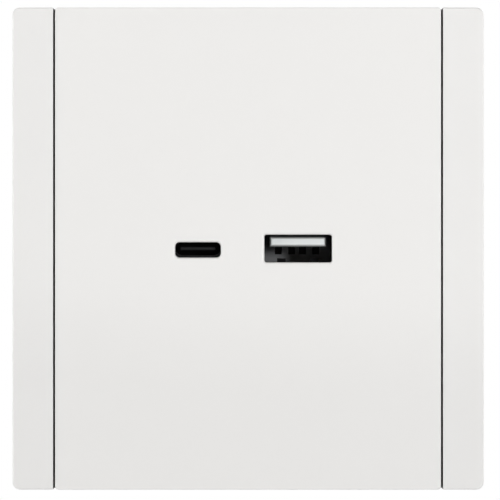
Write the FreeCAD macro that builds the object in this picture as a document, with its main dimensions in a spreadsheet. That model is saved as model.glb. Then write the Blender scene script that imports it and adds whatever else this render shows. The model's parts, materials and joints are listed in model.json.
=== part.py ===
"""Flush-mounted USB wall socket: cover frame, centre plate and a power-supply insert for a 60 mm wall box.

The wall's surface is the plane y = 0. The room lies towards -Y and the wall box towards +Y, +Z is up, and the
origin is the middle of the socket on the wall's surface. Sizes are in millimetres. A height "above the wall"
is counted towards the room, so a height of 9 lies at y = -9 and a height of -30 lies 30 mm inside the wall.
"""

import FreeCAD, Part
import os
import re

import Sketcher

doc = FreeCAD.newDocument("usb_wall_socket")
dim = doc.addObject("Spreadsheet::Sheet", "dim")

# Driving dimensions: alias, value, what it measures
DIMENSIONS = [
    ("frame_width", 86, "cover frame, left to right"),
    ("frame_height", 88, "cover frame, bottom to top"),
    ("frame_depth", 9, "front of the side strips above the wall"),
    ("strip_width", 7.45, "side strip seen from the front"),
    ("frame_corner", 1.35, "radius of the frame's four corners"),
    ("edge_round", 0.3, "rounding of the outer front edges"),
    ("gap_edge_round", 0.15, "rounding along the two dark gaps"),
    ("rail_depth", 4.6, "front of the rails above the wall"),
    ("rail_height", 7.2, "rail, from the frame's edge to its window"),
    ("ledge_width", 2.5, "ledge beside the window that carries the plate's sides"),
    ("ring_recess", 1.7, "room for the ring behind the rails and ledges"),
    ("strip_wall", 1.6, "side walls of the hollow strips and rails"),
    ("strip_face", 2, "front wall of a side strip"),
    ("rail_face", 1.6, "front wall of a rail"),
    ("frame_rib", 1.2, "ribs across the hollow strips and rails"),
    ("plate_gap", 0.3, "gap between the centre plate and a side strip"),
    ("plate_face", 2, "front wall of the centre plate"),
    ("plate_skirt", 1.5, "skirt round the centre plate"),
    ("plate_corner", 0.6, "radius of the centre plate's corners"),
    ("plate_edge", 0.2, "rounding of the centre plate's front edges"),
    ("plate_rib", 1, "stiffening ribs behind the centre plate"),
    ("plate_rib_depth", 1.8, "height of those ribs"),
    ("plate_rib_offset", 22, "outer ribs from the plate's middle"),
    ("port_spacing", 18.3, "between the middles of the two ports"),
    ("port_face", 1.2, "centre plate where it is thinned over a port"),
    ("port_edge", 0.45, "rounding round each port window"),
    ("port_clearance", 0.1, "between the thinned plate and a receptacle"),
    ("port_recess_margin", 0.6, "thinned field round a receptacle"),
    ("usb_a_window_width", 12.35, "larger port window"),
    ("usb_a_window_height", 5.05, "larger port window"),
    ("usb_a_window_corner", 0.4, "larger port window"),
    ("usb_c_window_width", 8.35, "smaller port window"),
    ("usb_c_window_height", 2.8, "smaller port window"),
    ("usb_c_window_corner", 0.8, "smaller port window"),
    ("usb_c_window_drop", 0.25, "smaller window below its receptacle's middle"),
    ("clip_margin", 6, "clip hooks beside the nose"),
    ("clip_z", 7, "clip hooks from the middle, up and down"),
    ("clip_width", 5, "clip hook along its window"),
    ("clip_thickness", 1.4, "arm of a clip hook"),
    ("clip_reach", 2.6, "clip hook behind the support ring's back"),
    ("clip_barb", 0.7, "barb that holds behind the ring"),
    ("clip_play", 0.25, "clearance round a clip hook"),
    ("ring_side_play", 1.05, "gap between ring and frame, sideways"),
    ("ring_end_play", 1.3, "gap between ring and frame, up and down"),
    ("ring_thickness", 1.2, "support ring's steel"),
    ("ring_corner", 3, "radius of the ring's corners"),
    ("slot_side_margin", 4.5, "middle of a side slot from the ring's edge"),
    ("slot_end_margin", 5.5, "middle of an upper or lower slot from the ring's edge"),
    ("slot_width", 3.6, "screw slot"),
    ("slot_length", 6.4, "screw slot, end to end"),
    ("corner_hole_side", 6, "corner holes from the ring's sides"),
    ("corner_hole_end", 7, "corner holes from the ring's ends"),
    ("corner_hole_radius", 1.6, "corner holes of the ring"),
    ("housing_width", 48, "insert behind the ring"),
    ("housing_height", 44, "insert behind the ring"),
    ("housing_chamfer", 7, "corners of the insert, to suit the round box"),
    ("housing_wall", 1.6, "walls of the insert's shells"),
    ("housing_face", 2, "front housing's wall behind the ring"),
    ("front_housing_depth", 6, "joint between the shells, behind the wall's surface"),
    ("housing_depth", 30, "back of the insert, behind the wall's surface"),
    ("housing_round", 1, "rounding of the insert's back edge"),
    ("nose_width", 40, "nose of the front housing"),
    ("nose_margin", 5.4, "ring screws from the nose"),
    ("nose_depth", 6.6, "nose above the wall"),
    ("nose_play", 0.3, "clearance between nose and ring"),
    ("lip_thickness", 0.8, "lip of the rear housing"),
    ("lip_height", 1.5, "lip of the rear housing"),
    ("lip_play", 0.1, "clearance round that lip"),
    ("screw_room", 0.5, "pilot holes beyond the screws' tips"),
    ("boss_depth", 5, "ring screw bosses, behind the wall's surface"),
    ("foot_wall", 0.8, "wall over a sunk screw head"),
    ("screw_edge", 0.25, "rounded rims of the screw heads and tips"),
    ("part_play", 0.15, "clearance of a loose fit, each side"),
    ("hole_play", 0.05, "radial clearance of a screw in its pilot hole"),
    ("boss_radius", 2.4, "screw bosses"),
    ("ring_screw_x", 10, "ring screws from the middle, sideways"),
    ("ring_screw_edge", 3.6, "ring screws from the insert's ends"),
    ("ring_screw_radius", 1.25, "ring screw's thread"),
    ("ring_screw_head", 2.2, "ring screw's head radius"),
    ("ring_screw_length", 4.6, "ring screw below its head"),
    ("case_screw_edge", 6, "case screws from the insert's sides and ends"),
    ("case_screw_radius", 1.1, "case screw's thread"),
    ("case_screw_head", 1.9, "case screw's head radius"),
    ("case_screw_recess", 2.1, "depth of the hole that sinks its head"),
    ("case_screw_bite", 3, "case screw in the front housing's boss"),
    ("case_screw_foot", 3, "radius of the post round the sunk head"),
    ("screw_head_height", 1.3, "all screw heads"),
    ("cross_width", 0.6, "cross recess of all screws"),
    ("cross_length", 2.2, "cross recess of all screws"),
    ("cross_depth", 0.8, "cross recess of all screws"),
    ("board_screw_radius", 0.9, "port board screw's thread"),
    ("board_screw_head", 1.6, "port board screw's head radius"),
    ("board_screw_length", 4.2, "port board screw below its head"),
    ("board_thickness", 1.2, "port board"),
    ("port_board_gap", 0.8, "port board from the housing's side walls"),
    ("port_board_margin", 0.6, "port board from the case screws' bosses"),
    ("standoff_edge", 1.4, "port board's standoffs from its sides"),
    ("standoff_end", 4, "port board's standoffs from its ends"),
    ("standoff_radius", 1.7, "port board's standoffs"),
    ("receptacle_length", 14, "both receptacles, board to mouth"),
    ("shell_sheet", 0.3, "steel of both receptacle shells"),
    ("usb_a_width", 13.1, "larger shell, outside"),
    ("usb_a_height", 5.72, "larger shell, outside"),
    ("usb_a_corner", 0.5, "larger shell, outside corner"),
    ("usb_a_cavity", 11.9, "depth from mouth to back wall"),
    ("usb_a_tongue_width", 10.4, "white tongue"),
    ("usb_a_tongue_height", 1.84, "white tongue"),
    ("usb_a_tongue_top", 0.4, "tongue below the shell's inner top"),
    ("tongue_setback", 0.9, "both tongues behind the mouth"),
    ("tongue_chamfer", 0.3, "front edge of the white tongue"),
    ("usb_c_tongue_chamfer", 0.22, "front edge of the black tongue"),
    ("usb_a_contact_width", 1, "contact strip"),
    ("usb_a_contact_sheet", 0.25, "contact strip"),
    ("usb_a_contact_inner", 1, "inner contacts from the middle"),
    ("usb_a_contact_outer", 3.5, "outer contacts from the middle"),
    ("usb_a_pocket_width", 1.3, "contact pocket in the back wall"),
    ("usb_a_pocket_height", 1.4, "contact pocket in the back wall"),
    ("usb_a_spring_x", 3, "retention windows from the middle"),
    ("usb_a_spring_width", 1.8, "retention window"),
    ("usb_a_spring_length", 4.5, "retention window"),
    ("usb_a_spring_start", 2.5, "retention window behind the mouth"),
    ("usb_a_spring_rise", 0.75, "lower spring fingers above the shell's floor"),
    ("usb_c_width", 8.94, "smaller shell, outside"),
    ("usb_c_height", 3.16, "smaller shell, outside"),
    ("usb_c_cavity", 6.5, "depth from mouth to base"),
    ("usb_c_tongue_width", 6.7, "black tongue"),
    ("usb_c_tongue_height", 0.7, "black tongue"),
    ("usb_c_contact_pitch", 0.5, "contact strips"),
    ("usb_c_contact_width", 0.25, "contact strips"),
    ("usb_c_contact_sheet", 0.1, "contact strips"),
    ("usb_c_contact_length", 3.6, "contact strips"),
    ("usb_c_contact_setback", 0.7, "contact strips behind the tongue's front"),
    ("leg_length", 1.8, "shell legs and pins through the port board"),
    ("leg_width", 1.2, "shell legs"),
    ("pin_hole_radius", 0.6, "holes of contact pins in the port board"),
    ("main_board_back", 22.1, "main board's back, behind the wall's surface"),
    ("main_board_thickness", 1.6, "main board"),
    ("board_side_gap", 1.4, "main board from the housing's side walls"),
    ("board_top_gap", 0.9, "main board from the housing's upper wall"),
    ("board_block_gap", 1.5, "main board above the terminal block"),
    ("main_board_chamfer", 11, "main board's upper corners"),
    ("board_post_edge", 2.7, "two posts behind the main board, from its sides"),
    ("board_post_z", 5.5, "two posts behind the main board, above the middle"),
    ("board_foot_rise", 2.3, "third post behind the main board, above its lower edge"),
    ("board_post_radius", 1.6, "posts behind the main board"),
    ("block_width", 28.4, "terminal block"),
    ("block_height", 8.9, "terminal block"),
    ("block_gap", 0.5, "terminal block from the housing's lower wall"),
    ("block_length", 13, "terminal block, front to back"),
    ("pole_spacing", 15.2, "between the two poles"),
    ("block_wall", 0.8, "terminal block's floor"),
    ("block_roof", 1.2, "terminal block's roof and outer walls"),
    ("block_flange", 0.4, "flange that rests behind the housing's back wall"),
    ("flange_depth", 1, "thickness of that flange"),
    ("block_back", 5, "terminal block's back wall with the wire holes"),
    ("wire_radius", 1.4, "wire holes"),
    ("wire_offset", 3.8, "wire holes from their pole's middle"),
    ("wire_rise", 3.3, "wire holes above the terminal block's bottom"),
    ("wire_funnel", 0.3, "chamfer at a wire hole's mouth"),
    ("button_width", 3.4, "release button"),
    ("button_height", 5.5, "release button"),
    ("button_proud", 1.6, "release button out of the terminal block"),
    ("button_round", 0.4, "release button's outer edges"),
    ("wing_thickness", 1.2, "wings that press the clamp springs"),
    ("wing_height", 2.4, "wings that press the clamp springs"),
    ("wing_play", 0.4, "wings from the cavity's sides"),
    ("wing_seat", 0.1, "wings in front of the block's back wall"),
    ("busbar_sheet", 0.8, "brass bus bars"),
    ("busbar_strap", 3, "strap that leads to the main board"),
    ("busbar_lift", 3.1, "strap's upper edge above the terminal block"),
    ("spring_sheet", 0.4, "clamp springs"),
    ("spring_width", 3, "clamp springs"),
    ("spring_reach", 4, "clamp spring's anchor"),
    ("spring_slope", 2.7, "clamp spring's arm leans forward"),
    ("transformer_gap", 0.65, "transformer beside the link carrier"),
    ("transformer_drop", 1.9, "transformer below the primary capacitors"),
    ("core_width", 16, "ferrite core"),
    ("core_height", 10, "ferrite core"),
    ("core_thickness", 5, "ferrite core"),
    ("core_yoke", 1.9, "ferrite core's yokes"),
    ("core_leg", 2.4, "ferrite core's outer legs"),
    ("core_middle_leg", 4, "ferrite core's middle leg"),
    ("bobbin_wall", 0.6, "transformer bobbin"),
    ("bobbin_depth", 12, "transformer bobbin's flanges"),
    ("core_play", 0.1, "between core and bobbin"),
    ("winding_margin", 0.5, "winding inside the bobbin's flanges"),
    ("primary_can_radius", 4, "two primary capacitors"),
    ("primary_can_length", 11.6, "two primary capacitors"),
    ("primary_can_x", 5.6, "two primary capacitors"),
    ("primary_can_edge", 5.1, "two primary capacitors, below the main board's top"),
    ("secondary_can_radius", 3.15, "secondary capacitor"),
    ("secondary_can_length", 8, "secondary capacitor"),
    ("secondary_can_x", 9.4, "secondary capacitor"),
    ("secondary_can_edge", 7, "secondary capacitor, below the port board's top"),
    ("can_groove", 0.35, "groove pressed in each capacitor"),
    ("can_round", 0.4, "rounding of each capacitor's end"),
    ("film_cap_width", 10, "suppression capacitor"),
    ("film_cap_thickness", 4.5, "suppression capacitor"),
    ("film_cap_height", 9, "suppression capacitor"),
    ("film_cap_x", 6.5, "suppression capacitor"),
    ("film_cap_gap", 1.45, "suppression capacitor above the bus bars' straps"),
    ("choke_radius", 3.2, "mains choke"),
    ("choke_neck", 2.7, "mains choke's wound middle"),
    ("choke_height", 8, "mains choke"),
    ("choke_flange", 1.2, "mains choke's flanges"),
    ("choke_edge", 4.4, "mains choke from the main board's side"),
    ("choke_drop", 6.5, "mains choke below the fuse resistor"),
    ("fuse_radius", 1.6, "fuse resistor"),
    ("fuse_length", 7, "fuse resistor"),
    ("fuse_edge", 4.6, "fuse resistor from the main board's side"),
    ("fuse_drop", 9, "fuse resistor below the upper case screws"),
    ("bridge_size", 5, "bridge rectifier"),
    ("bridge_height", 2.4, "bridge rectifier"),
    ("bridge_gap", 7.2, "bridge rectifier beside the mains choke"),
    ("bridge_drop", 9.8, "bridge rectifier below the primary capacitors"),
    ("lead_thickness", 0.3, "leads of the flat components"),
    ("lead_reach", 0.8, "leads beside the flat components"),
    ("chip_length", 5, "charging controller chips"),
    ("chip_width", 4, "charging controller chips"),
    ("chip_height", 1, "charging controller chips"),
    ("chip_rise", 5, "charging controller chips above the port board's lower edge"),
    ("link_pin", 0.64, "link pins between the boards"),
    ("link_pitch", 2.54, "link pins between the boards"),
    ("link_edge", 2.1, "link pins from the main board's side"),
    ("link_rise", 6.9, "middle of the row of link pins above the main board's lower edge"),
    ("link_carrier_width", 2.5, "plastic carrier of the link pins"),
    ("link_proud", 0.8, "link pins out of each board"),
]

for row, (alias, value, note) in enumerate(DIMENSIONS, start=1):
    dim.set(f"A{row}", note)
    dim.set(f"B{row}", str(value))
    dim.setAlias(f"B{row}", alias)
doc.recompute()

# Places that several pieces share, worked out from the driving dimensions
SHARED = [
    ("channel_width", "=frame_width - 2 * strip_width", "between the side strips"),
    ("plate_width", "=frame_width - 2 * strip_width - 2 * plate_gap", "centre plate"),
    ("plate_back", "=frame_depth - plate_face", "back of the centre plate's front wall"),
    ("ring_width", "=channel_width - 2 * ring_side_play", "support ring"),
    ("ring_height", "=frame_height - 2 * rail_height - 2 * ring_end_play", "support ring"),
    ("slot_across", "=ring_width / 2 - slot_side_margin", "side slots from the middle, 30 for a 60 mm box"),
    ("slot_upright", "=ring_height / 2 - slot_end_margin", "upper and lower slots from the middle"),
    ("corner_hole_x", "=ring_width / 2 - corner_hole_side", "corner holes from the middle"),
    ("corner_hole_z", "=ring_height / 2 - corner_hole_end", "corner holes from the middle"),
    ("ring_screw_z", "=housing_height / 2 - ring_screw_edge", "ring screws from the middle"),
    ("case_screw_x", "=housing_width / 2 - case_screw_edge", "case screws from the middle"),
    ("case_screw_z", "=housing_height / 2 - case_screw_edge", "case screws from the middle"),
    ("nose_height", "=2 * (ring_screw_z - nose_margin)", "nose of the front housing"),
    ("clip_x", "=nose_width / 2 + clip_margin", "clip hooks from the middle"),
    ("port_board_width", "=housing_width - 2 * (housing_wall + port_board_gap)", "port board"),
    ("port_board_height", "=2 * (case_screw_z - boss_radius - port_board_margin)", "port board"),
    ("standoff_x", "=port_board_width / 2 - standoff_edge", "port board's standoffs"),
    ("standoff_z", "=port_board_height / 2 - standoff_end", "port board's standoffs"),
    ("block_bottom", "=housing_height / 2 - housing_wall - block_gap", "terminal block's bottom below the middle"),
    ("block_top", "=block_bottom - block_height", "terminal block's top below the middle"),
    ("wire_z", "=block_bottom - wire_rise", "wire holes below the middle"),
    ("busbar_rise", "=block_top - busbar_lift", "straps' upper edge below the middle"),
    ("main_board_width", "=housing_width - 2 * (housing_wall + board_side_gap)", "main board"),
    ("main_board_top", "=housing_height / 2 - housing_wall - board_top_gap", "main board above the middle"),
    ("main_board_bottom", "=block_top - board_block_gap", "main board below the middle"),
    ("board_post_x", "=main_board_width / 2 - board_post_edge", "two posts behind the main board"),
    ("board_foot_z", "=board_foot_rise - main_board_bottom", "third post behind the main board"),
    ("link_x", "=link_edge - main_board_width / 2", "link pins"),
    ("link_z", "=link_rise - main_board_bottom", "middle of the row of link pins"),
    ("primary_can_z", "=main_board_top - primary_can_edge", "two primary capacitors"),
    ("secondary_can_z", "=port_board_height / 2 - secondary_can_edge", "secondary capacitor"),
    ("transformer_x", "=link_x + link_carrier_width / 2 + transformer_gap + core_width / 2", "transformer"),
    ("transformer_z", "=primary_can_z - primary_can_radius - transformer_drop - core_height / 2", "transformer"),
    ("film_cap_z", "=film_cap_gap + film_cap_thickness / 2 - busbar_rise", "suppression capacitor"),
    ("fuse_x", "=main_board_width / 2 - fuse_edge", "fuse resistor"),
    ("fuse_z", "=case_screw_z - fuse_drop", "fuse resistor"),
    ("choke_x", "=main_board_width / 2 - choke_edge", "mains choke"),
    ("choke_z", "=fuse_z - choke_drop", "mains choke"),
    ("bridge_x", "=choke_x - bridge_gap", "bridge rectifier"),
    ("bridge_z", "=primary_can_z - bridge_drop", "bridge rectifier"),
    ("chip_z", "=chip_rise - port_board_height / 2", "charging controller chips"),
    ("port_front", "=frame_depth - port_face - port_clearance", "mouths of the receptacles"),
    ("port_board_front", "=port_front - receptacle_length", "port board's front face, above the wall"),
    ("port_board_back", "=port_board_front - board_thickness", "port board's back face, above the wall"),
    ("main_board_front", "=main_board_thickness - main_board_back", "main board's front face, above the wall"),
    ("usb_a_x", "=port_spacing / 2", "larger port"),
    ("usb_c_x", "=-port_spacing / 2", "smaller port"),
    ("chip_x", "=port_spacing / 2", "charging controller chips, one behind each port"),
    ("usb_a_tongue_z", "=usb_a_height / 2 - shell_sheet - usb_a_tongue_top - usb_a_tongue_height", "tongue"),
    ("usb_a_base", "=port_front - usb_a_cavity", "back wall of the larger port"),
    ("usb_c_base", "=port_front - usb_c_cavity", "base of the smaller port"),
    ("tongue_front", "=port_front - tongue_setback", "front of both tongues"),
    ("usb_a_pin_z", "=usb_a_tongue_z + usb_a_contact_sheet / 2", "row of contact pins"),
    ("cavity_floor", "=block_wall - block_bottom", "terminal cavity's floor"),
    ("cavity_roof", "=-block_top - block_roof", "terminal cavity's roof"),
    ("cavity_half", "=block_width / 2 - block_roof - pole_spacing / 2", "half the terminal cavity's width"),
    ("block_front", "=block_length - housing_depth", "terminal block's front, above the wall"),
    ("cavity_back", "=block_back - housing_depth", "terminal cavity's back, above the wall"),
    ("button_low", "=cavity_roof - wing_play - button_height", "release button's lower face"),
    ("core_level", "=main_board_front + bobbin_depth / 2", "middle of the ferrite core above the wall"),
    ("button_top", "=cavity_roof - wing_play", "release button's upper face"),
    ("spring_root", "=-cavity_back - wing_seat - wing_thickness - button_proud - part_play", "clamp spring's bend, y"),
    ("inner_chamfer", "=housing_chamfer - housing_wall * (2 - sqrt(2))", "housing's corners inside"),
]
for row, (alias, formula, note) in enumerate(SHARED, start=len(DIMENSIONS) + 2):
    dim.set(f"A{row}", note)
    dim.set(f"B{row}", formula)
    dim.setAlias(f"B{row}", alias)
doc.recompute()

ALIASES = {entry[0] for entry in DIMENSIONS + SHARED}


def bound(formula):
    """A formula written with the aliases, as an expression that reads the spreadsheet."""
    return re.sub(r"[a-z][a-z0-9_]*", lambda m: f"dim.{m[0]}" if m[0] in ALIASES else m[0], str(formula))


def size(formula):
    """The number that a formula gives at this moment."""
    return float(dim.evalExpression(str(formula)))


def minus(formula):
    return f"-({formula})"


# Profiles are drawn as seen from the room: x to the right, z up

def corners(*points):
    """A closed outline through the given (x, z) formulas."""
    def draw(sketch):
        places = [FreeCAD.Vector(size(x), size(z), 0) for x, z in points]
        first = sketch.GeometryCount
        for i, start in enumerate(places):
            sketch.addGeometry(Part.LineSegment(start, places[(i + 1) % len(places)]))
        for i, (x, z) in enumerate(points):
            following = first + (i + 1) % len(points)
            sketch.addConstraint(Sketcher.Constraint("Coincident", first + i, 2, following, 1))
            locate(sketch, first + i, 1, x, z)
    return draw


def locate(sketch, geometry, point, x, z):
    """Ties one point of a sketch to two formulas."""
    for kind, formula in (("DistanceX", x), ("DistanceY", z)):
        index = sketch.addConstraint(Sketcher.Constraint(kind, -1, 1, geometry, point, size(formula)))
        sketch.setExpression(f"Constraints[{index}]", bound(formula))


def block(x0, x1, z0, z1):
    return corners((x0, z0), (x1, z0), (x1, z1), (x0, z1))


def centred(width, height, x="0", z="0"):
    """A rectangle round the point (x, z)."""
    return block(f"{x} - ({width}) / 2", f"{x} + ({width}) / 2", f"{z} - ({height}) / 2", f"{z} + ({height}) / 2")


def chamfered(width, height, chamfer):
    """A rectangle round the middle with its four corners cut off."""
    x = f"({width}) / 2"
    z = f"({height}) / 2"
    u = f"{x} - ({chamfer})"
    w = f"{z} - ({chamfer})"
    outline = [(x, w), (u, z), (minus(u), z), (minus(x), w)]
    outline += [(minus(x), minus(w)), (minus(u), minus(z)), (u, minus(z)), (x, minus(w))]
    return corners(*outline)


def disc(x, z, radius):
    def draw(sketch):
        middle = FreeCAD.Vector(size(x), size(z), 0)
        index = sketch.addGeometry(Part.Circle(middle, FreeCAD.Vector(0, 0, 1), size(radius)))
        locate(sketch, index, 3, x, z)
        constraint = sketch.addConstraint(Sketcher.Constraint("Radius", index, size(radius)))
        sketch.setExpression(f"Constraints[{constraint}]", bound(radius))
    return draw


def slot(x, z, length, width, upright=False):
    """A round-ended slot, end to end `length` long, along x or upright along z."""
    def draw(sketch):
        reach = f"(({length}) - ({width})) / 2"
        radius = f"({width}) / 2"
        ends = []
        for side in (minus(reach), reach):
            ends.append((x, f"{z} + {side}") if upright else (f"{x} + {side}", z))
        a, b = [FreeCAD.Vector(size(u), size(w), 0) for u, w in ends]
        r = size(radius)
        along = (b - a).normalize()
        across = FreeCAD.Vector(-along.y, along.x, 0)
        far = b + along * r
        near = a - along * r
        first = sketch.addGeometry(Part.Arc(b - across * r, far, b + across * r))
        second = sketch.addGeometry(Part.LineSegment(b + across * r, a + across * r))
        third = sketch.addGeometry(Part.Arc(a + across * r, near, a - across * r))
        fourth = sketch.addGeometry(Part.LineSegment(a - across * r, b - across * r))
        loop = [first, second, third, fourth]
        for one, other in zip(loop, loop[1:] + loop[:1]):
            sketch.addConstraint(Sketcher.Constraint("Tangent", one, 2, other, 1))
        locate(sketch, first, 3, *ends[1])
        locate(sketch, third, 3, *ends[0])
        constraint = sketch.addConstraint(Sketcher.Constraint("Radius", first, r))
        sketch.setExpression(f"Constraints[{constraint}]", bound(radius))
        sketch.addConstraint(Sketcher.Constraint("Equal", first, third))
    return draw


def new_body(label):
    body = doc.addObject("PartDesign::Body", label)
    body.Label = label
    return body


def sketch_on(body, role, offset, profiles):
    """A sketch parallel to one of the body's own planes."""
    plane = next(feature for feature in body.Origin.OriginFeatures if feature.Role == role)
    sketch = body.newObject("Sketcher::SketchObject", f"{body.Label}_outline")
    sketch.AttachmentSupport = [(plane, "")]
    sketch.MapMode = "FlatFace"
    sketch.setExpression("AttachmentOffset.Base.z", bound(offset))
    for profile in profiles:
        profile(sketch)
    sketch.Visibility = False
    return sketch


def solid(body, low, high, *profiles, role="XZ_Plane"):
    """Adds material between two heights above the wall, or two places along x for role YZ_Plane."""
    pad = body.newObject("PartDesign::Pad", f"{body.Label}_pad")
    pad.Profile = sketch_on(body, role, low, profiles)
    pad.setExpression("Length", bound(f"({high}) - ({low})"))
    return pad


def cut(body, low, high, *profiles, role="XZ_Plane"):
    """Removes material between two heights above the wall."""
    pocket = body.newObject("PartDesign::Pocket", f"{body.Label}_cut")
    pocket.Profile = sketch_on(body, role, high, profiles)
    pocket.setExpression("Length", bound(f"({high}) - ({low})"))
    return pocket


def edges_of(body, test):
    """Names of the edges whose middle point, direction and length pass the test."""
    doc.recompute()
    names = []
    for number, edge in enumerate(body.Shape.Edges, start=1):
        middle = edge.valueAt((edge.FirstParameter + edge.LastParameter) / 2)
        along = edge.tangentAt((edge.FirstParameter + edge.LastParameter) / 2)
        if test(middle, along, edge):
            names.append(f"Edge{number}")
    return names


def treat(body, kind, radius, test):
    """Rounds or chamfers the edges that pass the test."""
    base = body.Tip
    names = edges_of(body, test)
    if not names:
        raise RuntimeError(f"{body.Label}: no edge to treat")
    feature = body.newObject(f"PartDesign::{kind}", f"{body.Label}_{kind.lower()}")
    feature.Base = (base, names)
    feature.setExpression("Radius" if kind == "Fillet" else "Size", bound(radius))
    return feature


def near(value, formula):
    return abs(value - size(formula)) < NEAR


def runs_through(along):
    """True for an edge that runs square to the wall."""
    return abs(along.x) + abs(along.z) < NEAR


NEAR = 1e-4


# Cover: frame, centre plate and support ring

def cover_frame():
    body = new_body("cover_frame")
    inner = "channel_width / 2 + strip_wall"
    outer = "frame_width / 2 - strip_wall"
    tall = "frame_height / 2 - strip_wall"
    rail_low = "frame_height / 2 - rail_height + strip_wall"
    solid(body, "0", "frame_depth", centred("frame_width", "frame_height"))
    cut(body, "rail_depth", "frame_depth", centred("channel_width", "frame_height * 2"))
    window_height = "frame_height - 2 * rail_height"
    cut(body, "0", "rail_depth", centred("channel_width - 2 * ledge_width", window_height))
    cut(body, "0", "ring_recess", centred("channel_width", window_height))
    left = block(minus(outer), minus(inner), minus(tall), tall)
    cut(body, "0", "frame_depth - strip_face", block(inner, outer, minus(tall), tall), left)
    lower = centred("channel_width", f"{tall} - ({rail_low})", "0", f"-({rail_low} + {tall}) / 2")
    upper = centred("channel_width", f"{tall} - ({rail_low})", "0", f"({rail_low} + {tall}) / 2")
    cut(body, "0", "rail_depth - rail_face", lower, upper)
    ribs = []
    for side in (inner, minus(outer)):
        for height in ("-frame_height / 4", "0", "frame_height / 4"):
            middle = f"{side} + ({outer} - ({inner})) / 2"
            ribs.append(centred(f"{outer} - ({inner})", "frame_rib", middle, height))
    solid(body, "frame_rib", "frame_depth - strip_face", *ribs)
    ribs = []
    for sign in ("-", "+"):
        for place in ("-channel_width / 4", "0", "channel_width / 4"):
            ribs.append(centred("frame_rib", f"{tall} - ({rail_low})", place, f"0 {sign} ({rail_low} + {tall}) / 2"))
    solid(body, "frame_rib", "rail_depth - rail_face", *ribs)
    treat(body, "Fillet", "frame_corner", lambda at, along, edge: runs_through(along)
          and near(abs(at.x), "frame_width / 2") and near(abs(at.z), "frame_height / 2"))
    treat(body, "Fillet", "edge_round", lambda at, along, edge: near(at.y, "-frame_depth")
          and abs(at.x) > size("channel_width / 2 + gap_edge_round"))
    treat(body, "Fillet", "gap_edge_round", lambda at, along, edge: near(at.y, "-frame_depth")
          and near(abs(at.x), "channel_width / 2"))
    return body


def centre_plate():
    body = new_body("centre_plate")
    inside_width = "plate_width - 2 * plate_skirt"
    inside_height = "frame_height - 2 * plate_skirt"
    thinned = "frame_depth - port_face"
    solid(body, "rail_depth", "frame_depth", centred("plate_width", "frame_height"))
    cut(body, "rail_depth", "plate_back", centred(inside_width, inside_height))
    long_ribs = [centred("plate_rib", inside_height, x) for x in (minus("plate_rib_offset"), "plate_rib_offset")]
    solid(body, "plate_back - plate_rib_depth", "plate_back", *long_ribs)
    for sign in ("-", "+"):
        across = centred(inside_width, "plate_rib", "0", f"0 {sign} plate_rib_offset")
        solid(body, "plate_back - plate_rib_depth", "plate_back", across)
    margin = "2 * port_recess_margin"
    fields = [centred(f"usb_a_width + {margin}", f"usb_a_height + {margin}", "usb_a_x")]
    fields.append(centred(f"usb_c_width + {margin}", f"usb_c_height + {margin}", "usb_c_x"))
    cut(body, "plate_back", thinned, *fields)
    windows = [centred("usb_a_window_width", "usb_a_window_height", "usb_a_x")]
    windows.append(centred("usb_c_window_width", "usb_c_window_height", "usb_c_x", "-usb_c_window_drop"))
    cut(body, thinned, "frame_depth", *windows)
    treat(body, "Fillet", "usb_a_window_corner", lambda at, along, edge: runs_through(along)
          and near(abs(at.x - size("usb_a_x")), "usb_a_window_width / 2"))
    treat(body, "Fillet", "usb_c_window_corner", lambda at, along, edge: runs_through(along)
          and near(abs(at.x - size("usb_c_x")), "usb_c_window_width / 2"))
    treat(body, "Fillet", "plate_corner", lambda at, along, edge: runs_through(along)
          and near(abs(at.x), "plate_width / 2"))
    treat(body, "Fillet", "port_edge", lambda at, along, edge: near(at.y, "-frame_depth")
          and abs(at.x) < size("port_spacing") and abs(at.z) < size("usb_a_height"))
    treat(body, "Fillet", "plate_edge", lambda at, along, edge: near(at.y, "-frame_depth")
          and near(abs(at.x), "plate_width / 2"))
    for x in ("-clip_x", "clip_x"):
        for z in ("-clip_z", "clip_z"):
            outwards = "-1" if x.startswith("-") else "1"
            solid(body, "-clip_reach", "plate_back", centred("clip_thickness", "clip_width", x, z))
            face = f"{x} + {outwards} * clip_thickness / 2"
            barb = corners((face, "0"), (f"{face} + {outwards} * clip_barb", "0"), (face, "clip_reach"))
            solid(body, f"{z} - clip_width / 2", f"{z} + clip_width / 2", barb, role="XY_Plane")
    return body


def support_ring():
    body = new_body("support_ring")
    solid(body, "0", "ring_thickness", centred("ring_width", "ring_height"))
    treat(body, "Fillet", "ring_corner", lambda at, along, edge: runs_through(along))
    inner = "clip_x - clip_thickness / 2 - clip_barb - clip_play"
    outer = "clip_x + clip_thickness / 2 + clip_play"
    openings = [centred("nose_width + 2 * nose_play", "nose_height + 2 * nose_play")]
    for side in ("-", ""):
        openings.append(slot(f"{side}slot_across", "0", "slot_length", "slot_width"))
        openings.append(slot("0", f"{side}slot_upright", "slot_length", "slot_width", upright=True))
        for other in ("-", ""):
            openings.append(disc(f"{side}corner_hole_x", f"{other}corner_hole_z", "corner_hole_radius"))
            openings.append(disc(f"{side}ring_screw_x", f"{other}ring_screw_z", "ring_screw_radius + part_play"))
            tall = (f"{other}clip_z - clip_width / 2 - clip_play", f"{other}clip_z + clip_width / 2 + clip_play")
            wide = (minus(outer), minus(inner)) if side else (inner, outer)
            openings.append(block(*wide, *tall))
    cut(body, "0", "ring_thickness", *openings)
    return body


# Insert behind the ring: two shells held by screws

RING_SCREWS = [(x, z) for x in ("-ring_screw_x", "ring_screw_x") for z in ("-ring_screw_z", "ring_screw_z")]
CASE_SCREWS = [(x, z) for x in ("-case_screw_x", "case_screw_x") for z in ("-case_screw_z", "case_screw_z")]
STANDOFFS = [(x, z) for x in ("-standoff_x", "standoff_x") for z in ("-standoff_z", "standoff_z")]


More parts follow.
